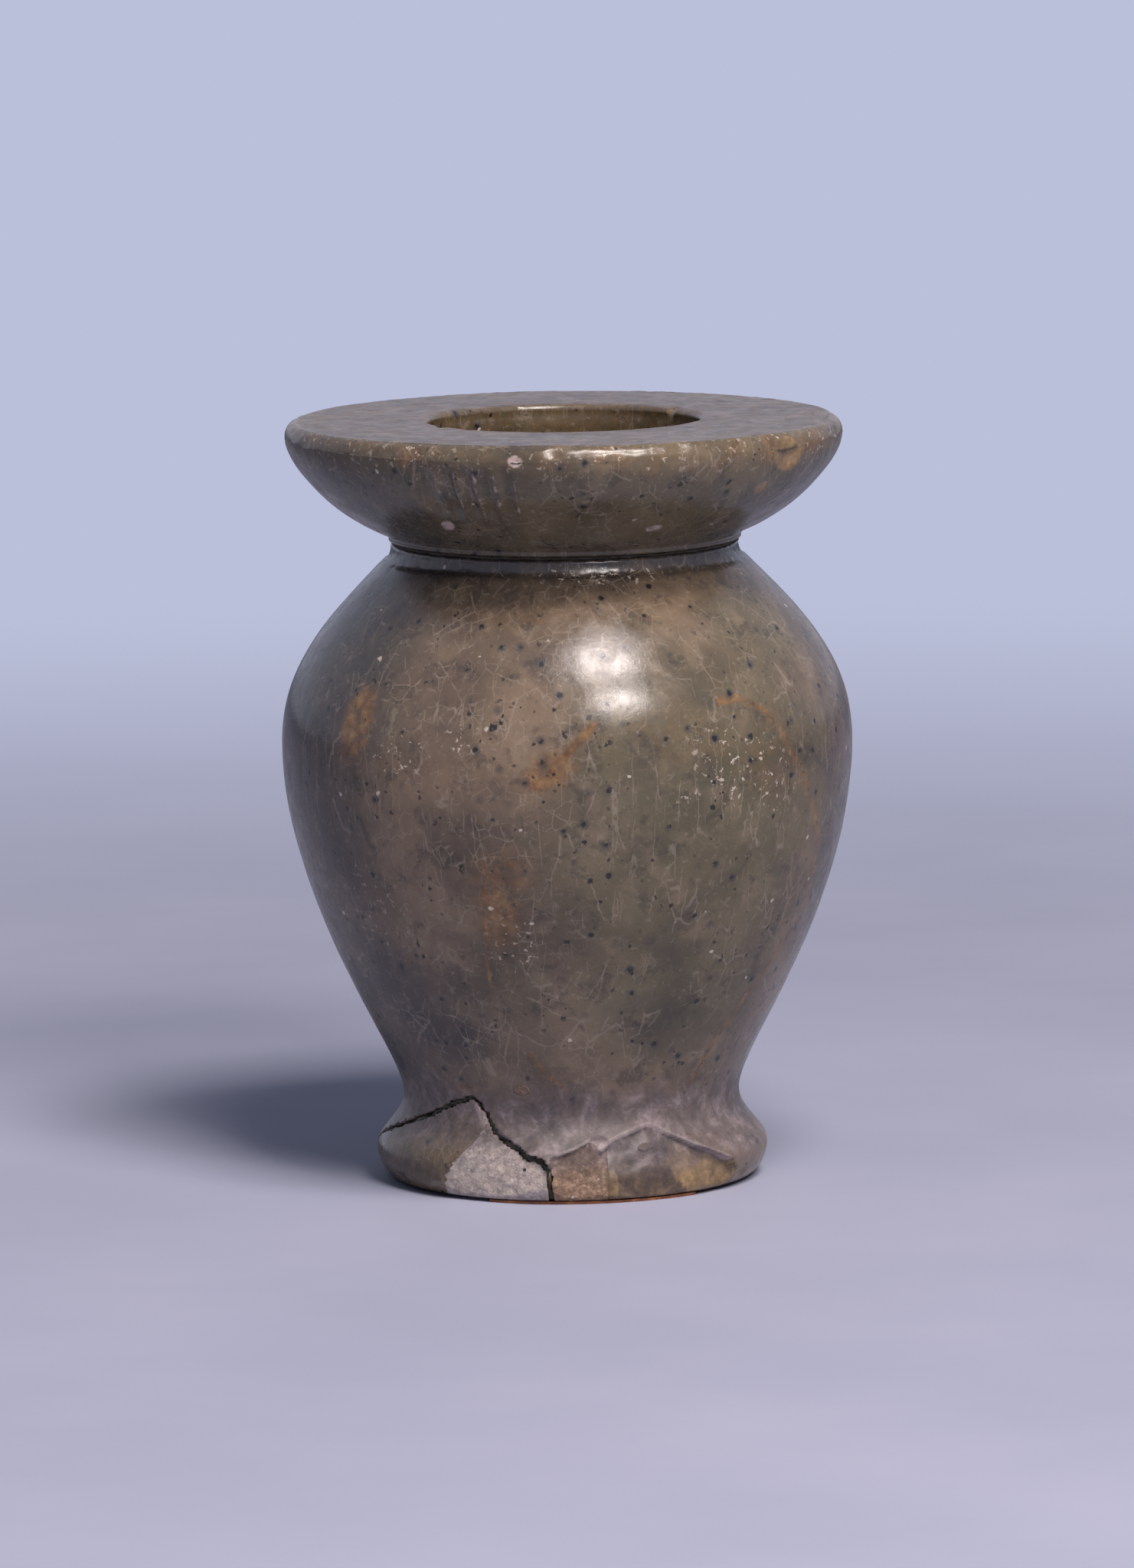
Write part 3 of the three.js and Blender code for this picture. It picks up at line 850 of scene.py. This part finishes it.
def node(tree, kind, inputs=(), **settings):
    """Adds one node. Each of its inputs, by name or number, takes a value or the socket that feeds it."""
    made = tree.nodes.new("ShaderNode" + kind)
    for key, value in settings.items():
        setattr(made, key, value)
    for place, given in dict(inputs).items():
        if isinstance(given, bpy.types.NodeSocket):
            tree.links.new(given, made.inputs[place])
        else:
            made.inputs[place].default_value = given
    return made


def material(name):
    """A plain material, its nodes and shader, and the place on the piece that its patterns go by."""
    made = bpy.data.materials.new(name)
    made.use_nodes = True
    tree = made.node_tree
    tree.nodes.clear()
    shader = node(tree, "BsdfPrincipled")
    node(tree, "OutputMaterial", {"Surface": shader.outputs[0]})
    place = node(tree, "TexCoord").outputs["Object"]
    return made, tree, shader, place


def mottled(tree, place, size_mm, stops, detail=4.0, rough=0.55):
    """Blotches of about this size, coloured from stops of noise level and hex colour."""
    level = node(tree, "TexNoise", sized(place, size_mm, detail, rough)).outputs[0]
    made = node(tree, "ValToRGB", {0: level})
    elements = made.color_ramp.elements
    while len(elements) < len(stops):
        elements.new(0.5)
    for element, (position, colour) in zip(elements, stops):
        element.position = position
        element.color = linear(colour)
    return made.outputs[0]


def blotches(tree, place, size_mm, low, high, detail=4.0, rough=0.55, least=0.0, most=1.0):
    """Blotches of about this size: the least where the noise is low, the most where it is high."""
    level = node(tree, "TexNoise", sized(place, size_mm, detail, rough)).outputs[0]
    span = {0: level, 1: low, 2: high, 3: least, 4: most}
    return node(tree, "MapRange", span, **SOFTLY).outputs[0]


def borders(tree, place, spacing_mm, width, core):
    """Lines where cells meet: core and width are how far they are full and seen, as parts of a cell."""
    cell = {"Vector": place, "Scale": per_metre(spacing_mm)}
    gap = node(tree, "TexVoronoi", cell, feature="DISTANCE_TO_EDGE").outputs[0]
    span = {0: gap, 1: core, 2: width, 3: 1.0, 4: 0.0}
    return node(tree, "MapRange", span, **SOFTLY).outputs[0]


def warped(tree, place, size_mm, reach_mm):
    """A place pushed about by noise, so that what is drawn on it loses its regular look."""
    push = node(tree, "TexNoise", {"Vector": place, "Scale": per_metre(size_mm)}).outputs[1]
    centred = node(tree, "VectorMath", {0: push, 1: (0.5, 0.5, 0.5)}, operation="SUBTRACT").outputs[0]
    reach = {0: centred, "Scale": 2.0 * reach_mm * MM}
    scaled = node(tree, "VectorMath", reach, operation="SCALE").outputs[0]
    return node(tree, "VectorMath", {0: place, 1: scaled}, operation="ADD").outputs[0]


def specks(tree, place, spacing_mm, size, share):
    """Scattered grains: size is a grain's radius as a part of the spacing, share how many cells have one."""
    cell = node(tree, "TexVoronoi", {"Vector": place, "Scale": per_metre(spacing_mm)})
    near = {0: cell.outputs[0], 1: size * 0.55, 2: size, 3: 1.0, 4: 0.0}
    dot = node(tree, "MapRange", near, **SOFTLY).outputs[0]
    pick = node(tree, "SeparateColor", {0: cell.outputs[1]}).outputs[0]
    drawn = {0: pick, 1: 1.0 - share, 2: 1.0 - share + 0.02}
    chosen = node(tree, "MapRange", drawn, **SOFTLY).outputs[0]
    return node(tree, "Math", {0: dot, 1: chosen}, operation="MULTIPLY").outputs[0]


def scratches(tree, place, turn, spacing_mm, stretch, width):
    """Fine hairlines along one direction: the borders of long thin cells, with gaps."""
    along = {"Vector": place, "Rotation": turn, "Scale": (1.0, 1.0, stretch)}
    line = borders(tree, node(tree, "Mapping", along).outputs[0], spacing_mm, width, width * 0.3)
    gaps = blotches(tree, place, spacing_mm * 1.7, 0.52, 0.60, 2.0)
    return node(tree, "Math", {0: line, 1: gaps}, operation="MULTIPLY").outputs[0]


def laid(tree, base, colour, *amounts):
    """A colour laid over another, as strongly as its amounts multiplied together."""
    strength = amounts[0]
    for amount in amounts[1:]:
        strength = node(tree, "Math", {0: strength, 1: amount}, operation="MULTIPLY").outputs[0]
    top = linear(colour) if isinstance(colour, str) else colour
    return node(tree, "Mix", {0: strength, 6: base, 7: top}, data_type="RGBA").outputs[2]


def grainy(tree, shader, place, size_mm, depth_mm, detail=4.0, rough=0.55, strength=1.0):
    """Gives a shader the fine relief of grains of about this size."""
    height = node(tree, "TexNoise", sized(place, size_mm, detail, rough)).outputs[0]
    skin = node(tree, "Bump", {"Height": height, "Distance": depth_mm * MM, "Strength": strength})
    tree.links.new(skin.outputs[0], shader.inputs["Normal"])


def stone_ground(tree, place, soft, fine, base_stops, painted):
    """The stone's colour: mottled, clouded and darker in blotches, with a fine pale web and hairlines, and
    painted shade where the dark mask is set.
    """
    colour = mottled(tree, soft, 7.0, base_stops, 6.0, 0.62)
    if "olive" in painted:
        colour = laid(tree, colour, mottled(tree, soft, 4.0, OLIVE_STOPS, 5.0), painted["olive"], 0.75)
    colour = laid(tree, colour, "8C7A64", blotches(tree, soft, 2.2, 0.50, 0.72, 5.0), 0.45)
    shade = blotches(tree, warped(tree, place, 2.0, 0.8), 1.6, 0.52, 0.66, 6.0, 0.7)
    colour = laid(tree, colour, "332F2C", shade, 0.55)
    # Painted shade: where the dark mask is set, mostly on the side away from the windows and under the rim,
    # the stone is darkened unevenly
    if "dark" in painted:
        dark_unevenness = blotches(tree, soft, 1.5, 0.30, 0.60, 6.0, 0.7, least=0.55)
        colour = laid(tree, colour, "25262A", painted["dark"], dark_unevenness, 0.85)
    web = borders(tree, fine, 0.95, 0.045, 0.008)
    web_gaps = blotches(tree, place, 1.8, 0.44, 0.60, 3.0)
    colour = laid(tree, colour, "9E917E", web, web_gaps, painted.get("web", 1.0), 0.48)
    for turn, spacing, stretch in HAIRLINES:
        hair = scratches(tree, fine, turn, spacing, stretch, 0.022)
        colour = laid(tree, colour, "A89C8C", hair, 0.30)
    if "ochre" in painted:
        grit = blotches(tree, fine, 0.7, 0.36, 0.58, 6.0, 0.75)
        loose = node(tree, "Math", {0: painted["ochre"], 1: grit}, operation="MULTIPLY").outputs[0]
        heart = node(tree, "MapRange", {0: painted["ochre"], 1: 0.35, 2: 0.95, 4: 0.45}, **SOFTLY).outputs[0]
        both = {0: loose, 1: 0.8, 2: heart}
        stain = node(tree, "Math", both, operation="MULTIPLY_ADD", use_clamp=True).outputs[0]
        colour = laid(tree, colour, mottled(tree, fine, 0.8, RUST_STOPS, 5.0), stain)
    return colour


def worn_faces(tree, fine, colour, painted):
    """Lays the broken and worn faces over the stone, and says how strongly the roughest one shows."""
    granular = None
    for key, size_mm, stops in WORN_FACES:
        if key not in painted:
            continue
        ragged = node(tree, "TexNoise", sized(fine, 0.5, 5.0, 0.7)).outputs[0]
        edge = node(tree, "Math", {0: painted[key], 1: ragged}, operation="ADD").outputs[0]
        shown = {0: edge, 1: 0.80, 2: 1.12}
        amount = node(tree, "MapRange", shown, **SOFTLY).outputs[0]
        colour = laid(tree, colour, mottled(tree, fine, size_mm, stops, 6.0, 0.7), amount)
        if key in GRANULAR_FACES:
            colour = laid(tree, colour, "DCD4CE", specks(tree, fine, 0.5, 0.26, 0.3), amount, 0.7)
            colour = laid(tree, colour, "1C1B1C", specks(tree, fine, 1.3, 0.11, 0.3), amount)
            granular = amount
    return colour, granular


def polished_serpentine(name, base_stops, masks):
    """Polished serpentine, turned and rubbed smooth: waxy, mottled olive to brown, with black ore specks."""
    made, tree, shader, place = material(name)
    painted = {key: node(tree, "Attribute", attribute_name=key).outputs["Fac"] for key in masks}
    soft = warped(tree, place, 3.0, 1.2)
    fine = warped(tree, place, 0.6, 0.12)
    colour = stone_ground(tree, place, soft, fine, base_stops, painted)

    # Black ore: big grains with a grey halo, small ones that crowd together, and clumps
    crushed = warped(tree, place, 0.30, 0.13)
    crowd = blotches(tree, place, 4.5, 0.40, 0.62, 2.0)
    colour = laid(tree, colour, "33363C", specks(tree, fine, 1.25, 0.34, 0.42), crowd, 0.5)
    black = specks(tree, crushed, 1.25, 0.19, 0.42)
    tiny = {0: specks(tree, crushed, 0.62, 0.24, 0.34), 1: crowd, 2: black}
    grains = node(tree, "Math", tiny, operation="MULTIPLY_ADD").outputs[0]
    clump = blotches(tree, crushed, 0.55, 0.665, 0.70, 2.0, 0.5)
    clumped = {0: clump, 1: blotches(tree, place, 3.2, 0.50, 0.60, 2.0), 2: grains}
    ore = node(tree, "Math", clumped, operation="MULTIPLY_ADD", use_clamp=True).outputs[0]
    colour = laid(tree, colour, "141416", ore, 0.92)

    # White flakes where they are painted, and a few everywhere
    torn = warped(tree, place, 0.5, 0.25)
    scattered = {
        0: blotches(tree, torn, 0.34, 0.60, 0.66, 3.0, 0.6),
        1: painted.get("flake", 0.12),
        2: specks(tree, torn, 2.2, 0.08, 0.6),
    }
    flake = node(tree, "Math", scattered, operation="MULTIPLY_ADD", use_clamp=True).outputs[0]
    colour = laid(tree, colour, "CFC3B4", flake, 0.85)

    colour, granular = worn_faces(tree, fine, colour, painted)
    colour = laid(tree, colour, mottled(tree, soft, 1.3, DUST_STOPS, 7.0, 0.7), painted["matt"], 0.75)
    tree.links.new(colour, shader.inputs["Base Color"])

    # The polish is uneven, and it is gone where the stone is rubbed or broken
    roughness = blotches(tree, fine, 1.1, 0.25, 0.85, 5.0, 0.65, least=0.17, most=0.38)
    for dull, added in ((granular, 0.40), (painted["matt"], 0.28)):
        if dull is not None:
            sum_up = {0: dull, 1: added, 2: roughness}
            roughness = node(tree, "Math", sum_up, operation="MULTIPLY_ADD", use_clamp=True).outputs[0]
    tree.links.new(roughness, shader.inputs["Roughness"])
    shader.inputs["IOR"].default_value = 1.56

    # Relief: soft waves and flakes stand up, pits and ore lie low, and a broken face is granular
    waves = node(tree, "TexNoise", sized(fine, 0.5, 5.0, 0.6)).outputs[0]
    pits = specks(tree, warped(tree, place, 0.4, 0.1), 1.9, 0.10, 0.4)
    height = 0.0
    for part, share in ((waves, 0.35), (flake, 0.25), (pits, -0.60), (black, -0.20)):
        height = node(tree, "Math", {0: part, 1: share, 2: height}, operation="MULTIPLY_ADD").outputs[0]
    skin = node(tree, "Bump", {"Height": height, "Strength": 0.55, "Distance": 0.05 * MM}).outputs[0]
    if granular is not None:
        grain = node(tree, "TexNoise", sized(fine, 0.28, 5.0, 0.75)).outputs[0]
        grain = node(tree, "Math", {0: grain, 1: granular}, operation="MULTIPLY").outputs[0]
        rough_skin = {"Height": grain, "Normal": skin, "Strength": 0.9, "Distance": 0.14 * MM}
        skin = node(tree, "Bump", rough_skin).outputs[0]
    tree.links.new(skin, shader.inputs["Normal"])
    return made


def mortar():
    """Old lime mortar, dark with dirt: dull, sandy, with pale grains."""
    made, tree, shader, place = material("old_lime_mortar")
    colour = mottled(tree, place, 0.5, [(0.3, "2A2622"), (0.55, "4A4238"), (0.75, "6E6456")], 6.0, 0.7)
    colour = laid(tree, colour, "C8BEB0", specks(tree, place, 0.55, 0.24, 0.25))
    tree.links.new(colour, shader.inputs["Base Color"])
    shader.inputs["Roughness"].default_value = 0.9
    grainy(tree, shader, place, 0.25, 0.1, 5.0, 0.7)
    return made


def old_glue():
    """Aged animal glue, squeezed into the break: dark olive-brown, half glossy, with dust on it."""
    made, tree, shader, place = material("aged_animal_glue")
    colour = mottled(tree, place, 0.5, [(0.3, "1C1A12"), (0.5, "35301C"), (0.75, "5A5230")], 5.0, 0.6)
    colour = laid(tree, colour, "8C7C66", specks(tree, place, 0.4, 0.2, 0.2), 0.5)
    tree.links.new(colour, shader.inputs["Base Color"])
    shader.inputs["Roughness"].default_value = 0.38
    shader.inputs["IOR"].default_value = 1.5
    grainy(tree, shader, place, 0.3, 0.06)
    return made


def brown_paper():
    """Thin gummed paper, laid and cut by hand: brown and fibrous, coppery at its cut edge."""
    made, tree, shader, place = material("gummed_brown_paper")
    colour = mottled(tree, place, 0.7, [(0.3, "4A2E1E"), (0.5, "7A4A2E"), (0.75, "A8704A")], 6.0, 0.7)
    tree.links.new(colour, shader.inputs["Base Color"])
    shader.inputs["Roughness"].default_value = 0.55
    fibres = node(tree, "Mapping", {"Vector": place, "Scale": (1.0, 0.15, 1.0)}).outputs[0]
    grainy(tree, shader, fibres, 0.15, 0.03)
    return made


def dried_kohl():
    """Dried galena paste, ground and packed: nearly black and dull, with metallic grains and fine cracks."""
    made, tree, shader, place = material("dried_galena_paste")
    colour = mottled(tree, place, 0.8, [(0.3, "0E0E10"), (0.55, "1E1E20"), (0.8, "38363A")], 6.0, 0.7)
    crack = borders(tree, warped(tree, place, 1.0, 0.3), 2.4, 0.06, 0.01)
    glint = specks(tree, place, 0.5, 0.2, 0.15)
    colour = laid(tree, laid(tree, colour, "050505", crack), "6A6C74", glint)
    tree.links.new(colour, shader.inputs["Base Color"])
    dull = node(tree, "MapRange", {0: glint, 3: 0.85, 4: 0.3})
    tree.links.new(dull.outputs[0], shader.inputs["Roughness"])
    crumbs = node(tree, "TexNoise", sized(place, 0.4, 5.0)).outputs[0]
    height = node(tree, "Math", {0: crumbs, 1: crack}, operation="SUBTRACT").outputs[0]
    skin = node(tree, "Bump", {"Height": height, "Distance": 0.15 * MM})
    tree.links.new(skin.outputs[0], shader.inputs["Normal"])
    return made


def in_scar(outline, bearing, radius, height):
    """1 inside a scar's outline and 0 outside it."""
    top = scar_top(outline, bearing) + uneven(SCAR_OUTLINE, at(bearing, radius, height))
    return 1.0 - smooth(top - 0.15, top, height)


def peach_scar(bearing, radius, height):
    """The sandy peach face beside the crack, and its small patches."""
    face = in_scar(FRONT_SCAR_TOP, bearing, radius, height) * smooth(SCAR_TURN[1], SCAR_TURN[0], bearing)
    return max(face, patchy(PEACH_PATCHES, bearing, radius, height))


def brown_scar(bearing, radius, height):
    """The weathered brown faces to the right of the peach one."""
    face = in_scar(FRONT_SCAR_TOP, bearing, radius, height)
    return 0.9 * face * smooth(SCAR_TURN[0], SCAR_TURN[1], bearing)


def matt_foot(bearing, radius, height):
    """The rubbed, dusty zone round the waist of the foot, strongest at the front."""
    ragged = uneven(MATT_EDGE, at(bearing, radius, height))
    zone = smooth(7.6, 5.6, height + ragged) * smooth(1.0, 3.0, height)
    front = 0.35 + 0.65 * smooth(110.0, 60.0, abs(around(bearing, 10.0)))
    return zone * front


def dark_neck(height):
    """The unpolished neck under the rim, darker all round from the neck zone up."""
    return 0.9 * smooth(NECK_ZONE, NECK_ZONE + 0.6, height)


def edge_wear(bearing, radius, height):
    """The rubbed outer edge of the rim."""
    lip = smooth(43.6, 44.8, height) * smooth(15.6, 16.4, radius)
    rubbed = smooth(-0.1, 0.35, noise.noise(at(bearing, radius, height) * 0.5))
    return lip * (0.35 + 0.65 * rubbed)


def flute_ridge_highlight(bearing, radius, height):
    """Painted highlights: pale streaks on the ridges that stand between the tool flutes."""
    rise = smooth(FLUTE_FOOT, FLUTE_FOOT + 1.2, height) * smooth(FLUTE_TOP, FLUTE_TOP - 0.8, height)
    nearest = min(abs(math.radians(around(bearing, flute[0] + RIDGE_STEP)) * radius) for flute in FLUTES)
    return 0.42 * rise * smooth(0.28, 0.05, nearest)


def make_stones():
    """The jar and the shard that broke from its foot, cut apart along the crack."""
    jar = object_of("stone_jar", wear_jar(turned(jar_outline(), JAR_SEGMENTS)))
    shard = object_of("glued_foot_shard", bmesh.new())
    shard.data = jar.data.copy()
    cut_with(jar, shard_block("pocket_block", 0.0), "DIFFERENCE")
    cut_with(shard, shard_block("chunk_block", CRACK_WIDTH), "INTERSECT")

    jar_masks = {
        "ochre": lambda b, r, z: max(veined(OCHRE_VEINS, b, r, z), patchy(OCHRE_PATCHES, b, r, z)),
        # The dark mask: painted shade from the dark patches, and the darker neck
        "dark": lambda b, r, z: max(patchy(DARK_PATCHES, b, r, z), dark_neck(z)),
        "olive": lambda b, r, z: patchy(OLIVE_PATCHES, b, r, z),
        "web": lambda b, r, z: 0.25 + 0.75 * patchy(WEB_PATCHES, b, r, z),
        "flake": lambda b, r, z: 0.12 + 0.88 * patchy(FLAKE_PATCHES, b, r, z),
        "peach": peach_scar,
        "brown": brown_scar,
        "gold": lambda b, r, z: patchy(GOLD_PATCHES, b, r, z),
        "lip": lambda b, r, z: veined(PALE_LIPS, b, r, z),
        "matt": matt_foot,
    }
    shard_masks = {
        "scar": lambda b, r, z: in_scar(SHARD_SCAR_TOP, b, r, z),
        "brown": lambda b, r, z: 0.7 * patchy(BROWN_PATCHES, b, r, z),
        "lip": lambda b, r, z: veined(PALE_LIPS + PINK_LIPS, b, r, z),
        "matt": lambda b, r, z: 0.8 * smooth(2.6, 3.8, z),
    }
    for piece, masks, cad_node, slot, name, stops in (
        (jar, jar_masks, "vessel_body", "jar_stone", "polished_serpentine_jar", JAR_STOPS),
        (shard, shard_masks, "foot_shard", "shard_stone", "broken_serpentine_shard", SHARD_STOPS),
    ):
        for key, rule in masks.items():
            paint(piece, key, rule)
        finish(piece, cad_node, polished_serpentine(name, stops, masks))


def make_glue():
    """The sheet of glue that fills the break, lumpy where it shows and a little behind the surface."""
    outline = jar_outside(GLUE_SETBACK)
    outline.append((0.0, outline[-1][1]))
    bm = turned(outline, GLUE_SEGMENTS)
    for v in bm.verts:
        radius = math.hypot(v.co.x, v.co.y)
        if radius > 1.0 and v.co.z > BASE_HEIGHT + 0.05:
            push_out(v, radius, uneven(GLUE_LUMPS, v.co))
            push_out(v, radius, -broken(bearing_of(v.co), radius, v.co.z, v.co, GLUE_SINK))
    glue = object_of("glue_in_the_break", bm)
    cut_with(glue, shard_block("glue_outer", GLUE_PLAY), "INTERSECT")
    cut_with(glue, shard_block("glue_inner", CRACK_WIDTH - GLUE_PLAY), "DIFFERENCE")
    finish(glue, "shard_glue", old_glue())


def make_rim():
    """The wide rim, a stone of its own, with its spigot in the neck."""
    rim = object_of("stone_rim", wear_rim(turned(rim_outline(), RIM_SEGMENTS, closed=True)))
    masks = {
        "ochre": lambda b, r, z: max(0.6 * edge_wear(b, r, z), 0.35 * smooth(9.4, 8.6, r)),
        # Painted shade on the rim's underside
        "dark": lambda b, r, z: patchy(RIM_SHADE, b, r, z) if r > 10.0 and z < 45.2 else 0.0,
        "gold": lambda b, r, z: patchy(RIM_AMBER, b, r, z),
        # Beige chips, and painted highlights on the flute ridges
        "lip": lambda b, r, z: max(patchy(RIM_BEIGE, b, r, z), flute_ridge_highlight(b, r, z)),
        "flake": lambda b, r, z: 0.15 + 0.6 * edge_wear(b, r, z),
        "web": lambda b, r, z: 0.3,
        "matt": lambda b, r, z: 0.55 if z > COLLAR_TOP - 0.12 and r < COLLAR_FLAT_OUT else 0.0,
    }
    for key, rule in masks.items():
        paint(rim, key, rule)
    finish(rim, "rim_collar", polished_serpentine("polished_serpentine_rim", RIM_STOPS, masks))


def make_bedding():
    """The thin uneven ring of mortar between the neck and the rim."""
    middle = (BED_OUTER + BED_BULGE, (BED_LOW + BED_HIGH) / 2)
    outline = [(BED_INNER, BED_LOW)]
    outline += straight(outline[-1], (BED_OUTER, BED_LOW), BED_POINTS["flat"])
    outline += quarter(outline[-1], middle, BED_POINTS["round"], True)
    outline += quarter(outline[-1], (BED_OUTER, BED_HIGH), BED_POINTS["round"], False)
    outline += straight(outline[-1], (BED_INNER, BED_HIGH), BED_POINTS["flat"])
    bm = turned(outline, BED_SEGMENTS, closed=True)
    for v in bm.verts:
        radius = math.hypot(v.co.x, v.co.y)
        if radius > BED_SHOWN:
            push_out(v, radius, uneven(MORTAR_LUMPS, v.co) + uneven(MORTAR_GRAINS, v.co))
    finish(object_of("mortar_bed", bm), "rim_bedding", mortar())


def make_label():
    """The strip of paper under the foot: a round stone's width, cut straight on both sides."""
    low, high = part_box("base_label")
    bm = bmesh.new()
    bmesh.ops.create_circle(bm, cap_ends=True, radius=LABEL_RADIUS, segments=LABEL_SEGMENTS)
    for side, edge in ((-1, low[0] / MM), (1, high[0] / MM)):
        bmesh.ops.bisect_plane(
            bm,
            geom=list(bm.verts) + list(bm.edges) + list(bm.faces),
            plane_co=(edge, 0, 0),
            plane_no=(side, 0, 0),
            clear_outer=True,
        )
    for v in bm.verts:
        v.co.x += uneven(LABEL_EDGE, v.co)
    skin = bmesh.ops.extrude_face_region(bm, geom=list(bm.faces))
    top = [g for g in skin["geom"] if isinstance(g, bmesh.types.BMVert)]
    bmesh.ops.translate(bm, vec=(0, 0, LABEL_THICKNESS), verts=top)
    bmesh.ops.recalc_face_normals(bm, faces=bm.faces)
    finish(object_of("paper_label", bm), "base_label", brown_paper(), flat=True)


def make_kohl():
    """What is left of the kohl: a crust, hollowed in the middle and cracked as it dried."""
    wall = (KOHL_RADIUS, KOHL_EDGE)
    outline = [(0.0, KOHL_FLOOR)]
    outline += straight(outline[-1], (KOHL_RADIUS - KOHL_CORNER, KOHL_FLOOR), KOHL_POINTS["floor"])
    outline += bezier(
        outline[-1],
        (KOHL_RADIUS - KOHL_CORNER_REACH[0], KOHL_FLOOR),
        (KOHL_RADIUS, KOHL_FLOOR + KOHL_CORNER_REACH[1]),
        (KOHL_RADIUS, KOHL_FLOOR + KOHL_CORNER),
        KOHL_POINTS["corner"],
    )
    outline += straight(outline[-1], wall, KOHL_POINTS["wall"])
    outline += bezier(
        wall,
        (wall[0] - KOHL_DISH_REACH[0], wall[1] - KOHL_DISH_REACH[1]),
        (wall[0] - KOHL_DISH_REACH[2], KOHL_MIDDLE),
        (0.0, KOHL_MIDDLE),
        KOHL_POINTS["dish"],
    )
    bm = turned(outline, KOHL_SEGMENTS)
    for v in bm.verts:
        r = math.hypot(v.co.x, v.co.y)
        if v.co.z > KOHL_MIDDLE - 0.1 and r < KOHL_RADIUS - 0.05:
            v.co.z += uneven(KOHL_LUMPS, v.co) + uneven(KOHL_GRAINS, v.co) - KOHL_SETTLED
            near, next_near = noise.voronoi(Vector((v.co.x, v.co.y, 0)) * KOHL_CRACKS[0])[0][:2]
            v.co.z -= KOHL_CRACKS[1] * (1.0 - smooth(0.0, KOHL_CRACK_WIDTH, next_near - near))
    finish(object_of("kohl_crust", bm), "kohl_residue", dried_kohl())


def paper_sweep():
    """Pale matt paper, lavender-blue: it keeps a shadow near the vessel and is even further off."""
    made, tree, shader, place = material("pale_paper_sweep")
    colour = mottled(tree, place, 40.0, [(0.35, "A9AEC4"), (0.65, "B2B6CC")])
    tree.links.new(colour, shader.inputs["Base Color"])
    shader.inputs["Roughness"].default_value = 0.7
    grainy(tree, shader, place, 0.8, 0.1, 5.0, strength=0.2)
    # Far from the vessel the paper shows its own even colour to the camera
    spot = node(tree, "VectorMath", {0: place}, operation="LENGTH").outputs[1]
    away = node(tree, "MapRange", {0: spot, 1: SWEEP_FADE[0], 2: SWEEP_FADE[1]}, **SOFTLY).outputs[0]
    seen = node(tree, "LightPath").outputs["Is Camera Ray"]
    shown = node(tree, "Math", {0: away, 1: seen}, operation="MULTIPLY").outputs[0]
    glow = node(tree, "Emission", {0: linear("BBC0DA"), 1: 1.0}).outputs[0]
    mixed = node(tree, "MixShader", {0: shown, 1: shader.outputs[0], 2: glow})
    tree.links.new(mixed.outputs[0], tree.nodes["Material Output"].inputs["Surface"])
    return made


def make_stage():
    """A wide pale floor that keeps the vessel's shadow."""
    bm = bmesh.new()
    bmesh.ops.create_circle(bm, cap_ends=True, radius=FLOOR_RADIUS, segments=FLOOR_SEGMENTS)
    floor = object_of("floor", bm)
    floor.data.materials.append(paper_sweep())


def make_light():
    """One soft window high at the right front, a weaker low one, and an even pale room."""
    world = bpy.data.worlds.new("pale_room")
    world.use_nodes = True
    tree = world.node_tree
    background = tree.nodes["Background"]
    background.inputs["Color"].default_value = linear("C4CAE2")
    rays = node(tree, "LightPath").outputs
    mirrored = {0: rays["Is Camera Ray"], 1: rays["Is Glossy Ray"]}
    shown = node(tree, "Math", mirrored, operation="MAXIMUM").outputs[0]
    level = node(tree, "MapRange", {0: shown, 3: ROOM_LIGHT, 4: ROOM_SHOWN})
    tree.links.new(level.outputs[0], background.inputs["Strength"])
    bpy.context.scene.world = world
    for name, bearing, up, distance, width, height, power in WINDOWS:
        data = bpy.data.lights.new(name, "AREA")
        data.shape = "RECTANGLE"
        data.size = width
        data.size_y = height
        data.energy = power
        data.color = WINDOW_COLOUR
        lamp = bpy.data.objects.new(name, data)
        bpy.context.collection.objects.link(lamp)
        slope = math.radians(up)
        way = at(bearing, math.cos(slope), math.sin(slope))
        lamp.location = Vector((0, 0, LIT_HEIGHT * MM)) + way * distance
        lamp.rotation_euler = way.to_track_quat("Z", "Y").to_euler()


def make_camera():
    """The photograph's view: low, from the front, with a long lens and a slight turn of the picture."""
    data = bpy.data.cameras.new("camera")
    data.sensor_width = SENSOR_WIDTH
    data.lens = LENS
    data.clip_start = 0.05
    data.clip_end = 20.0
    camera = bpy.data.objects.new("camera", data)
    bpy.context.collection.objects.link(camera)
    slope = math.radians(VIEW_SLOPE)
    back = at(0.0, math.cos(slope), math.sin(slope))
    look = back.to_track_quat("Z", "Y").to_matrix().to_4x4()
    stand = Matrix.Translation((Vector(VIEW_CENTRE) + back * VIEW_DISTANCE) * MM)
    camera.matrix_world = stand @ look @ Matrix.Rotation(math.radians(VIEW_ROLL), 4, "Z")
    bpy.context.scene.camera = camera
    bpy.context.scene.view_settings.view_transform = "Standard"


make_camera()
make_light()
make_stage()
make_stones()
make_glue()
make_rim()
make_bedding()
make_label()
make_kohl()
